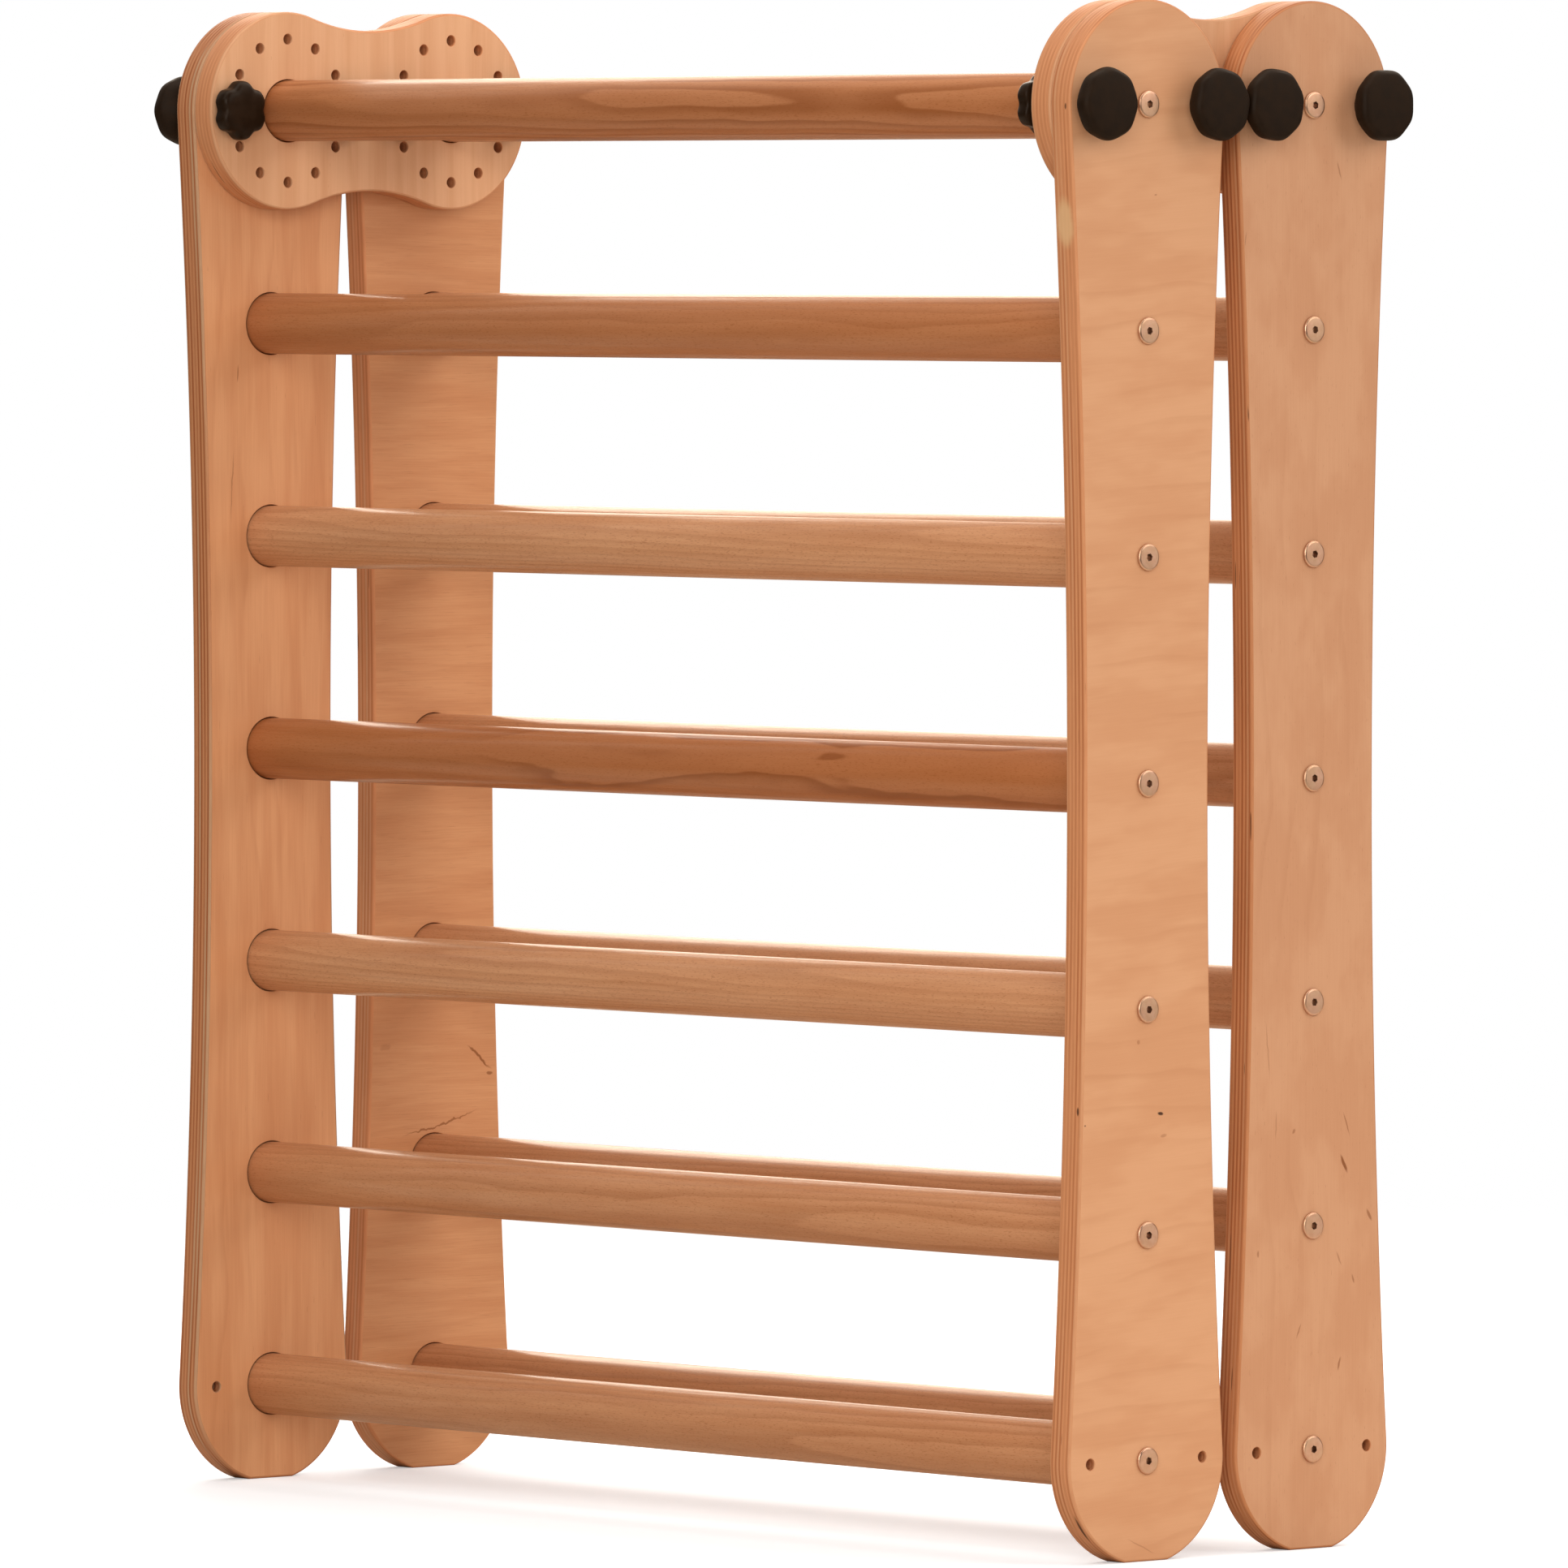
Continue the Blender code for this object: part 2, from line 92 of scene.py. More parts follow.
# Clearances and other sizes of the workshop
BOLT_CLEARANCE = 0.0003  # all round a bolt or stud in its hole
PIVOT_CLEARANCE = 0.0006  # all round a top rung in a plate's bore
SEAT = THICKNESS + 0.0003  # where heads and knobs rest, just clear of a board's outer face
OVERRUN = 0.002  # how far a cutter reaches beyond the plywood
BORE_DEPTH = THICKNESS + 0.013  # depth of the bore for a bolt in a rung's end
RUNG_TURN, BOLT_TURN = 47, 23  # degrees from one rung to the next, so that neighbours aren't alike
PLY_LAYERS = 11.0
MARK_DEPTH = 0.02  # how deep a mark in the wood reaches
SENSOR_WIDTH = 36.0  # of the camera, in millimetres
MM = 0.001
QUARTER = math.radians(90)

# A profile is drawn in millimetres, as distance from the seat and radius, and scaled to the frame's height
LOCK_KNOB_HEIGHT, STAR_KNOB_HEIGHT = 0.0209, 0.0145
LOCK_KNOB_PROFILE = [
    (0.0, 11.0), (0.0, 11.9), (0.15, 12.0), (2.8, 12.0), (3.9, 12.9), (7.0, 18.0), (10.2, 21.7),
    (12.0, 22.7), (15.8, 22.7), (17.9, 22.1), (19.3, 20.6), (19.9, 18.6), (20.55, 12.0), (20.85, 5.0)]
STAR_KNOB_PROFILE = [
    (0.0, 9.5), (0.2, 10.0), (2.1, 10.0), (2.5, 11.0), (2.9, 17.0), (4.0, 19.3), (5.2, 19.6),
    (9.6, 19.6), (12.2, 18.9), (13.8, 17.0), (14.4, 14.6), (14.5, 8.0)]
# Degrees that each lock knob is turned, by its ladder and its place on the board
LOCK_KNOB_TURNS = {("front", "front"): 0, ("front", "back"): 9, ("rear", "front"): 14, ("rear", "back"): 22.5}

# Each side board's veneered face and its rim, in the words of birch_veneer and ply_rim
BOARD_LOOKS = {
    ("front", "right"): (
        dict(upright=False, place=(0.3, 0.0, 0.0), tint=(1.02, 1.04, 1.10), band=(0.03, 0.10, 0.55),
             fibres=0.05, fleck=(0.006, 0.0007, 0.15, 0.4), lines=0.11, slant=4),
        dict(seed=0.0, brown=0.7, pale=0.25)),
    ("front", "left"): (
        dict(upright=True, place=(1.7, 0.4, 0.0), tint=(1.04, 1.00, 0.97), band=(0.02, 0.20, 0.75),
             fibres=0.12, fleck=(0.014, 0.0006, 0.45, 0.4), lines=0.12),
        # The front left rim's tint darkens it as painted shade, where less light reaches the left side.
        dict(seed=17.0, brown=0.95, pale=0.9, tint=(0.84, 0.82, 0.80))),
    ("rear", "right"): (
        dict(upright=True, place=(2.9, 0.8, 0.0), tint=(0.92, 0.94, 1.04), band=(0.03, 0.06, 0.5),
             fibres=0.07, fleck=(0.005, 0.0005, 0.70, 0.3), lines=0.09),
        # The rear right rim's tint darkens it as painted shade, in the gap between the right-hand boards.
        dict(seed=31.0, brown=0.85, pale=0.3, tint=(0.84, 0.80, 0.75))),
    ("rear", "left"): (
        dict(upright=False, place=(4.3, 1.3, 0.0), tint=(0.92, 0.87, 0.82), band=(0.014, 0.12, 0.6),
             fibres=0.16, fleck=(0.018, 0.0005, 0.95, 0.2), lines=0.10),
        dict(seed=53.0, brown=0.6))}

# Marks by material, in millimetres: three numbers for the place, half length, half height, slant
# in degrees, raggedness, strength and colour. The place is (0, y, z), or (y, distance from x = 0, z) on a rim.
# Most are marks in the wood; the last on the rear left face is a soft painted shadow.
DARK, BROWN = "fleck", "heartwood"
MARKS = {
    "birch_face_front_right": (
        (0, -58.5, 277.6, 2.6, 1.2, -8, 1, 1, DARK),
        (0, -56, 264, 3, 1.2, 5, 2, 0.35, BROWN),
        (0, -77, 322.5, 1.6, 1.4, 40, 2, 0.4, BROWN),
        (0, -121.7, 272.4, 0.8, 0.6, 0, 1, 0.8, DARK),
        (0, -63.3, 846.5, 1.2, 0.6, 10, 1, 0.4, BROWN),
        (0, -74.6, 9.5, 13, 0.5, -23, 1.5, 0.3, BROWN)),
    "plywood_rim_front_right": (
        (-129.6, 428, 829.5, 8.5, 16.5, 4, 4, 0.85, "filler"),
        (-124.2, 433.5, 280.9, 1.1, 3, 0, 1, 0.9, DARK),
        (-113, 433, 24, 1.6, 10, 0, 1, 0.95, DARK),
        (-135.5, 433, 900.9, 0.9, 2.2, 0, 1, 0.8, DARK)),
    "birch_face_front_left": (
        (0, -97.9, 729.8, 6, 0.5, 86, 1, 0.6, BROWN),
        (0, -102.9, 655.1, 24, 0.5, 87, 2, 0.45, BROWN)),
    "birch_face_rear_right": (
        (0, 92, 861.9, 6, 0.6, -72, 1.5, 0.45, BROWN),
        (0, 12.6, 818.9, 5, 0.5, 80, 1.5, 0.35, BROWN),
        (0, 97.3, 240.1, 6.5, 1.4, -62, 2, 0.85, BROWN),
        (0, 99.4, 265.5, 8, 0.6, -68, 1.5, 0.55, BROWN),
        (0, 39, 266.3, 9, 0.5, 88, 1.5, 0.35, BROWN),
        (0, 54.2, 262.1, 1.8, 1.2, 60, 1.5, 0.5, BROWN),
        (0, 32, 313.7, 18, 0.5, -84, 2, 0.35, BROWN),
        (0, 23.9, 186.8, 2.4, 1, 90, 1.5, 0.5, BROWN),
        (0, 105.1, 168, 3.2, 0.8, -70, 2, 0.5, BROWN),
        (0, 93.2, 181.2, 5, 0.7, -65, 2, 0.4, BROWN),
        (0, 58.6, 137, 5.5, 0.6, 65, 2, 0.5, BROWN),
        (0, 93.4, 115, 4.5, 0.8, 80, 2, 0.6, BROWN),
        (0, 119, 207.1, 4.5, 1.4, -60, 2, 0.6, BROWN)),
    "birch_face_rear_left": (
        (0, 109, 272, 13, 1, -37, 6, 0.8, BROWN),
        (0, 118, 261, 3, 1.4, 0, 3, 0.7, BROWN),
        (0, 75, 228.5, 33, 0.8, 13, 8, 0.7, BROWN),
        # Painted shadow: a soft dark patch on the rear left face, not a mark in the wood.
        (0, 27.8, 281.6, 5, 3, 20, 6, 0.2, BROWN))}

# Kinds of beech, in the order of beech's own arguments, and the kind of each rung from the top down
BEECH_LOOKS = {
    "pale": ((0, 0.05, -0.05), 0.02, 0.22, 0.0028, 0.006),
    "tan": ((0, 0.06, 0.02), 0.22, 0.26, 0.0042, 0.012),
    "red": ((0, 0.09, 0.05), 0.62, 0.25, 0.0060, 0.014),
    "streaked": ((0, 0.05, -0.012), 0.66, 0.62, 0.0036, 0.012),
    "heart": ((0, 0.05, -0.02), 0.78, 0.20, 0.0050, 0.012, 0.75)}
RUNG_KINDS = {"front": ("streaked", "red", "pale", "heart", "pale", "tan", "tan"),
              "rear": ("tan", "pale", "pale", "tan", "pale", "tan", "tan")}

LIGHT_SIZE, LIGHT_AIM = 2.6, Vector((0, 0, 0.45))
LIGHT_PLACES = {
    "overhead": (0.0, 0.0, 3.6), "high_back": (0.4, 2.4, 3.0), "back_left": (-2.4, 2.4, 1.8),
    "front_right": (2.6, -2.6, 1.5), "high_front": (0.0, -2.2, 3.3), "right": (3.1, 1.5, 2.6),
    "low_right": (3.0, 2.6, 1.1), "left": (-2.6, 0.3, 2.4), "front_left": (-2.8, -1.8, 1.6)}


def metres(name, about, default):
    return bpy.props.FloatProperty(
        name=name, description=about, default=default, unit="LENGTH", subtype="DISTANCE")


def degrees(name, about, default):
    return bpy.props.FloatProperty(
        name=name, description=about, default=math.radians(default), unit="ROTATION", subtype="ANGLE")


def watts(name, where, default):
    return bpy.props.FloatProperty(
        name=name + " light", description="Power of the soft light " + where, default=default, unit="POWER")


def colour(name, about, default):
    return bpy.props.FloatVectorProperty(
        name=name, description=about, default=default, subtype="COLOR", size=3)


class TriangleSizes(bpy.types.PropertyGroup):
    """Sizes that the frame doesn't give on its own"""
    board_waist: metres("Board waist", "Width of a side board at mid height", 0.103)
    plate_waist: metres("Plate waist", "Height of a connector plate midway between its rungs", 0.106)
    edge_rounding: metres("Edge rounding", "Radius along the rims of the plywood", 0.0015)
    recess_depth: metres("Recess depth", "Depth of the round recess that takes a rung's end", 0.009)
    recess_clearance: metres("Recess clearance", "Gap all round a rung in its recess", 0.0005)
    lock_hole: metres("Lock hole", "Diameter of a lock hole", 0.007)
    lock_holes: bpy.props.IntProperty(
        name="Lock holes", description="Number of lock holes round each top rung", default=12)
    hole_rounding: metres("Hole rounding", "How far the mouth of a drilled hole is broken", 0.0004)
    rung_edge: metres("Rung edge", "Rounding at a rung's ends", 0.0006)
    bolt_shank: metres("Bolt shank", "Diameter of the bolts and studs", 0.006)
    hex_socket: metres("Hex socket", "Width across the flats of a bolt's socket", 0.004)
    knob_scallop: metres("Knob scallop", "Depth of the eight flats round a lock knob", 0.0013)
    star_flute: metres("Star flute", "Depth of the six hollows round a star knob", 0.003)


class TriangleColours(bpy.types.PropertyGroup):
    """Colours of the woods, the metal and the plastics"""
    birch_light: colour("Birch light", "Paler bands of the birch veneer", (0.69, 0.401, 0.233))
    birch_warm: colour("Birch warm", "Pinker bands of the birch veneer", (0.6, 0.314, 0.169))
    ply_light: colour("Ply light", "Plies that show their long grain on the rim", (0.62, 0.30, 0.155))
    ply_pale: colour("Ply pale", "Greyish beige plies, now and then on the rim", (0.58, 0.395, 0.264))
    ply_brown: colour("Ply brown", "Plies that show their end grain on the rim", (0.36, 0.115, 0.04))
    beech_light: colour("Beech light", "Paler wood of the rungs", (0.625, 0.368, 0.222))
    beech_warm: colour("Beech warm", "Redder wood of the rungs", (0.345, 0.114, 0.030))
    heartwood: colour("Heartwood", "Dark streaks of the red rungs", (0.205, 0.056, 0.008))
    fleck: colour("Fleck", "Dark flecks, voids and glue lines", (0.07, 0.026, 0.012))
    filler: colour("Filler", "Patch of filler on a rim", (0.66, 0.45, 0.26))
    zinc: colour("Zinc", "Pale yellow zinc plate of the bolts", (0.60, 0.37, 0.27))
    zinc_pink: colour("Zinc pink", "Pinker spots of the zinc plate", (0.68, 0.46, 0.36))
    zinc_green: colour("Zinc green", "Greener clouds of the zinc plate", (0.58, 0.46, 0.28))
    # Painted shade in the hollow of a bolt's socket, darker than the zinc; not wax or dust.
    socket_painted_shade: colour("Painted socket shade", "Wax and dust in the bolts' sockets", (0.20, 0.11, 0.07))
    plastic: colour("Plastic", "Black plastic of the knobs", (0.012, 0.0065, 0.0035))


class TriangleStage(bpy.types.PropertyGroup):
    """Camera, studio lights and floor"""
    camera_place: bpy.props.FloatVectorProperty(
        name="Camera place", description="Where the camera stands",
        default=(7.6032, -6.6291, 0.8354), subtype="TRANSLATION", size=3)
    camera_turn: degrees("Camera turn", "Angle of the view from straight along +Y", 48.85838)
    camera_tilt: degrees("Camera tilt", "How far the camera looks down", 2.08279)
    lens: bpy.props.FloatProperty(
        name="Lens", description="Focal length on a 36 mm sensor, in millimetres", default=360.587)
    overhead: watts("Overhead", "straight above", 57.0)
    high_back: watts("High back", "high behind the rear ladder", 60.0)
    back_left: watts("Back left", "behind the left ends of the rungs", 88.0)
    front_right: watts("Front right", "in front of the right-hand boards", 85.0)
    high_front: watts("High front", "high in front of the front ladder", 35.0)
    right: watts("Right", "high beside the right-hand boards", 46.0)
    low_right: watts("Low right", "low beside the rear ladder", 20.0)
    left: watts("Left", "high beside the left-hand boards", 22.0)
    front_left: watts("Front left", "in front of the left-hand boards", 5.0)
    light_colour: colour("Light colour", "Warm white of the lights and of the room's light", (1.0, 0.86, 0.72))
    sky: bpy.props.FloatProperty(
        name="Room light", description="Strength of the white room all round", default=0.06)
    floor_reach: metres("Floor reach", "Radius at which the floor has faded into the background", 3.2)
    floor_pale: colour("Floor pale", "Floor in the picture, where it's paler", (0.71, 0.825, 0.985))
    floor_cloud: colour("Floor cloud", "Floor in the picture, where it's a little darker", (0.69, 0.80, 0.955))
    floor_bounce: colour("Floor bounce", "Floor as it throws light back on the wood", (0.68, 0.63, 0.555))
    floor_glow: bpy.props.FloatProperty(
        name="Floor glow", description="Light added to the floor in the picture", default=0.38)


class Wiring:
    """Adds nodes to a tree and joins them up; a value may be a number, a colour or another node's socket."""

    def __init__(self, tree):
        self.tree = tree

    def node(self, kind, inputs=(), **settings):
        made = self.tree.nodes.new(kind)
        for key, value in settings.items():
            setattr(made, key, value)
        for key, value in dict(inputs).items():
            self.feed(made.inputs[key], value)
        return made

    def feed(self, socket, value):
        if isinstance(value, bpy.types.NodeSocket):
            self.tree.links.new(value, socket)
        elif socket.type == "RGBA":
            socket.default_value = (*value[:3], 1.0)
        else:
            socket.default_value = value

    def set_shader(self, **values):
        """Set or wire sockets of a material's own shader, named with _ for a space."""
        shader = self.tree.nodes["Principled BSDF"]
        for label, value in values.items():
            self.feed(shader.inputs[label.replace("_", " ")], value)

    def group(self, name, **inputs):
        """Use one of the GROUPS, with _ for a space in the names of its inputs. Gives its outputs."""
        if name not in bpy.data.node_groups:
            GROUPS[name](name)
        inputs = {label.replace("_", " "): value for label, value in inputs.items()}
        return self.node("ShaderNodeGroup", inputs, node_tree=bpy.data.node_groups[name]).outputs

    def object_place(self):
        return self.node("ShaderNodeTexCoord").outputs["Object"]

    def math(self, operation, a, b=0.0):
        return self.node("ShaderNodeMath", {0: a, 1: b}, operation=operation).outputs[0]

    def plus(self, a, b):
        return self.math("ADD", a, b)

    def minus(self, a, b):
        return self.math("SUBTRACT", a, b)

    def times(self, a, b):
        return self.math("MULTIPLY", a, b)

    def over(self, a, b):
        return self.math("DIVIDE", a, b)

    def vector(self, operation, a, b):
        return self.node("ShaderNodeVectorMath", {0: a, 1: b}, operation=operation).outputs[0]

    def scaled(self, vector, scale):
        return self.node("ShaderNodeVectorMath", {0: vector, "Scale": scale}, operation="SCALE").outputs[0]

    def split(self, vector):
        return self.node("ShaderNodeSeparateXYZ", {0: vector}).outputs

    def join(self, x, y, z):
        return self.node("ShaderNodeCombineXYZ", {0: x, 1: y, 2: z}).outputs[0]

    def between(self, value, low, high, to_low=0.0, to_high=1.0):
        """The value's place between low and high, eased and held at both ends."""
        inputs = {"Value": value, "From Min": low, "From Max": high, "To Min": to_low, "To Max": to_high}
        return self.node("ShaderNodeMapRange", inputs, interpolation_type="SMOOTHSTEP").outputs["Result"]

    def noise(self, vector, scale=1.0, detail=2.0, roughness=0.5):
        """Cloudy noise. The scale is one number, or three for X, Y and Z."""
        if isinstance(scale, tuple):
            vector, scale = self.vector("MULTIPLY", vector, scale), 1.0
        inputs = {"Vector": vector, "Scale": scale, "Detail": detail, "Roughness": roughness}
        return self.node("ShaderNodeTexNoise", inputs).outputs[0]

    def mix(self, share, a, b, blend="MIX"):
        node = self.node("ShaderNodeMix", {0: share, 6: a, 7: b}, data_type="RGBA", blend_type=blend)
        return node.outputs[2]

    def lay(self, base, *coats):
        """Lay coats over a colour. Each is a mask, its strength and its own colour."""
        for mask, strength, own in coats:
            base = self.mix(self.times(mask, strength), base, own)
        return base


VECTOR_SOCKETS = ("Vector", "Centre", "Pith", "Place")


def new_group(name, inputs, outputs):
    """A shader node group with named sockets. Gives its wiring, its inputs and its output node's sockets."""
    tree = bpy.data.node_groups.new(name, "ShaderNodeTree")
    for way, labels in (("INPUT", ("Vector", *inputs)), ("OUTPUT", outputs)):
        for label in labels:
            kind = "NodeSocketVector" if label in VECTOR_SOCKETS else "NodeSocketFloat"
            tree.interface.new_socket(name=label, in_out=way, socket_type=kind)
    w = Wiring(tree)
    return w, w.node("NodeGroupInput").outputs, w.node("NodeGroupOutput").inputs


def wood_grain_group(name):
    """Fibres, broad bands and short flecks of sawn or peeled wood, with the grain along X."""
    w, given, out = new_group(
        name, ("Fibre Width", "Fibre Length", "Band Width", "Band Length", "Wander",
               "Fleck Length", "Fleck Width", "Fleck Amount"), ("Fibres", "Bands", "Flecks"))
    drift = w.minus(w.noise(given["Vector"], (3.0, 14.0, 14.0), 1.0), 0.5)
    x, y, z = w.split(given["Vector"])
    y = w.plus(y, w.times(drift, given["Wander"]))

    def stretched(kind, detail, roughness):
        length, width = given[kind + " Length"], given[kind + " Width"]
        return w.noise(w.join(w.over(x, length), w.over(y, width), w.over(z, width)), 1.0, detail, roughness)

    w.feed(out["Fibres"], w.between(stretched("Fibre", 3.0, 0.6), 0.25, 0.75))
    w.feed(out["Bands"], w.between(stretched("Band", 3.0, 0.55), 0.3, 0.7))
    limit = w.minus(0.86, w.times(given["Fleck Amount"], 0.2))
    w.feed(out["Flecks"], w.between(stretched("Fleck", 1.0, 0.4), limit, w.plus(limit, 0.05)))


def growth_figure_group(name):
    """Thin wavy lines where a peeled veneer passes from one year's growth to the next, along X."""
    w, given, out = new_group(name, ("Spacing", "Wave"), ("Lines",))
    at = given["Vector"]
    slow = w.noise(at, (6.0, 9.0, 9.0), 3.0, 0.35)
    height = w.plus(w.over(w.split(at)[1], given["Spacing"]), w.times(slow, given["Wave"]))
    phase = w.math("FRACT", height)
    rise = w.math("POWER", w.between(phase, 0.62, 0.93), 1.5)
    fall = w.between(phase, 0.93, 1.0, 1.0, 0.0)
    patchy = w.between(w.noise(at, (7.0, 25.0, 25.0), 1.0), 0.38, 0.66)
    w.feed(out["Lines"], w.times(w.times(rise, fall), patchy))


def rung_frame_group(name):
    """The place on a rung, measured from the rung's own axis, and a number that differs for each rung."""
    w, given, out = new_group(name, (), ("Place", "Number"))
    x, y, z = w.split(given["Vector"])
    side = w.math("SIGN", y)
    across = w.minus(y, w.times(side, PIVOT_SPACING / 2))
    drop = w.minus(PIVOT_HEIGHT, z)
    row = w.math("ROUND", w.over(drop, PITCH))
    w.feed(out["Place"], w.join(x, across, w.minus(w.times(row, PITCH), drop)))
    w.feed(out["Number"], w.plus(row, w.times(side, 0.37)))


def growth_rings_group(name):
    """Year rings of solid wood whose grain runs along X, cut at a set place beside the tree's middle."""
    w, given, out = new_group(name, ("Pith", "Number", "Spacing", "Wave"), ("Rings",))
    shifted = w.vector("ADD", given["Vector"], w.join(w.times(given["Number"], 1.31), 0.0, 0.0))
    slow = w.noise(shifted, (4.5, 26.0, 26.0), 3.0, 0.42)
    x, y, z = w.split(w.vector("SUBTRACT", given["Vector"], given["Pith"]))
    reach = w.math("SQRT", w.plus(w.times(y, y), w.times(z, z)))
    reach = w.plus(reach, w.times(w.minus(slow, 0.5), given["Wave"]))
    year = w.over(w.plus(reach, w.times(x, 0.009)), given["Spacing"])
    phase = w.math("FRACT", year)
    line = w.times(w.math("POWER", w.between(phase, 0.05, 0.9), 1.7), w.between(phase, 0.9, 1.0, 1.0, 0.0))
    own = w.join(w.plus(w.times(w.math("FLOOR", year), 3.7), given["Number"]), w.times(x, 2.5), 0.0)
    w.feed(out["Rings"], w.times(line, w.between(w.noise(own, detail=1.0), 0.25, 0.6, 0.25, 1.0)))


def ply_layers_group(name):
    """Layers of plywood seen on a rim. Depth runs from 0 to 1 through the board."""
    w, given, out = new_group(name, ("Depth", "Layers", "End Grain", "Seed"),
                              ("Brown", "Pale", "Glue", "Streaks", "Voids"))
    at = given["Vector"]
    y, z = w.split(at)[1:]
    wobble = w.minus(w.noise(at, (60.0, 14.0, 14.0)), 0.5)
    place = w.times(w.plus(given["Depth"], w.times(wobble, 0.03)), given["Layers"])
    pair = w.times(place, 0.5)
    layer = w.math("FRACT", pair)
    odd = w.times(w.between(layer, 0.5, 0.6), w.between(layer, 0.9, 1.0, 1.0, 0.0))
    swapped = w.math("ABSOLUTE", w.minus(odd, given["End Grain"]))
    own = w.plus(w.times(w.math("FLOOR", pair), 3.3), given["Seed"])
    uneven = w.noise(w.join(own, w.times(y, 5.0), w.times(z, 5.0)), detail=1.0)
    w.feed(out["Brown"], w.times(swapped, w.between(uneven, 0.3, 0.65, 0.3, 1.0)))
    pale = w.noise(w.join(w.plus(own, 41.0), w.times(y, 2.0), w.times(z, 2.0)), detail=0.0)
    w.feed(out["Pale"], w.times(w.minus(1.0, odd), w.between(pale, 0.5, 0.62)))
    edge = w.math("ABSOLUTE", w.minus(w.math("FRACT", w.plus(place, 0.5)), 0.5))
    inside = w.between(w.math("ABSOLUTE", w.minus(given["Depth"], 0.5)), 0.44, 0.47, 1.0, 0.0)
    w.feed(out["Glue"], w.times(w.between(edge, 0.03, 0.16, 1.0, 0.0), inside))
    w.feed(out["Streaks"], w.between(w.noise(at, (900.0, 60.0, 60.0), 3.0, 0.6), 0.3, 0.7))
    w.feed(out["Voids"], w.between(w.noise(at, (700.0, 32.0, 32.0), 0.0), 0.82, 0.86))


def mark_group(name):
    """One small mark on a board, in its wood or a patch of painted shadow: a stretched spot in Y and Z with a
    ragged edge, and its depth in X.
    """
    w, given, out = new_group(name, ("Centre", "Half Length", "Half Height", "Slant", "Ragged"), ("Mask",))
    rough = w.node("ShaderNodeTexNoise", {"Vector": given["Vector"], "Scale": 130.0, "Detail": 2.0}).outputs[1]
    push = w.scaled(w.vector("SUBTRACT", rough, (0.5, 0.5, 0.5)), given["Ragged"])
    x, y, z = w.split(w.vector("SUBTRACT", w.vector("ADD", given["Vector"], push), given["Centre"]))
    cosine, sine = w.math("COSINE", given["Slant"]), w.math("SINE", given["Slant"])
    along = w.over(w.plus(w.times(y, cosine), w.times(z, sine)), given["Half Length"])
    across = w.over(w.minus(w.times(z, cosine), w.times(y, sine)), given["Half Height"])
    deep = w.over(x, MARK_DEPTH)
    square = w.plus(w.plus(w.times(along, along), w.times(across, across)), w.times(deep, deep))
    w.feed(out["Mask"], w.between(w.math("SQRT", square), 0.55, 1.15, 1.0, 0.0))


def moulded_skin_group(name):
    """Fine grain of a moulded surface, and the slight cloudiness of plastic that has been handled."""
    w, given, out = new_group(name, ("Grain Size",), ("Height", "Cloud"))
    spots = w.scaled(given["Vector"], w.over(1.0, given["Grain Size"]))
    w.feed(out["Height"], w.noise(spots, roughness=0.6))
    w.feed(out["Cloud"], w.between(w.noise(given["Vector"], 120.0, 3.0), 0.35, 0.65))


GROUPS = {"Wood grain": wood_grain_group, "Growth figure": growth_figure_group,
          "Rung frame": rung_frame_group, "Growth rings": growth_rings_group,
          "Ply layers": ply_layers_group, "Mark": mark_group, "Moulded skin": moulded_skin_group}
LACQUER = {"Coat_Weight": 0.08, "IOR": 1.42, "Specular_IOR_Level": 0.35}


def new_material(name, **uniform):
    """A material with its shader's plain numbers set. Gives its wiring and the colours to choose from."""
    material = bpy.data.materials.new(name)
    material.use_nodes = True
    w = Wiring(material.node_tree)
    w.material = material
    w.set_shader(**uniform)
    return w, bpy.context.scene.triangle_colours


def set_surface(w, base, patches, roughness, height, strength, distance):
    """Wire a shader's colour, roughness (between two values, by patches) and relief. Gives the material."""
    relief = w.node("ShaderNodeBump", {"Height": height, "Strength": strength, "Distance": distance})
    w.set_shader(Base_Color=base, Roughness=w.between(patches, 0.0, 1.0, *roughness), Normal=relief.outputs[0])
    return w.material


def add_marks(w, at, base, name):
    """Lay the marks of a material over its colour."""
    colours = bpy.context.scene.triangle_colours
    for *centre, length, height, slant, ragged, strength, own in MARKS.get(name, ()):
        mark = w.group("Mark", Vector=at, Centre=[c * MM for c in centre], Half_Length=length * MM,
                       Half_Height=height * MM, Slant=math.radians(slant), Ragged=ragged * MM)
        base = w.lay(base, (mark["Mask"], strength, getattr(colours, own)))
    return base


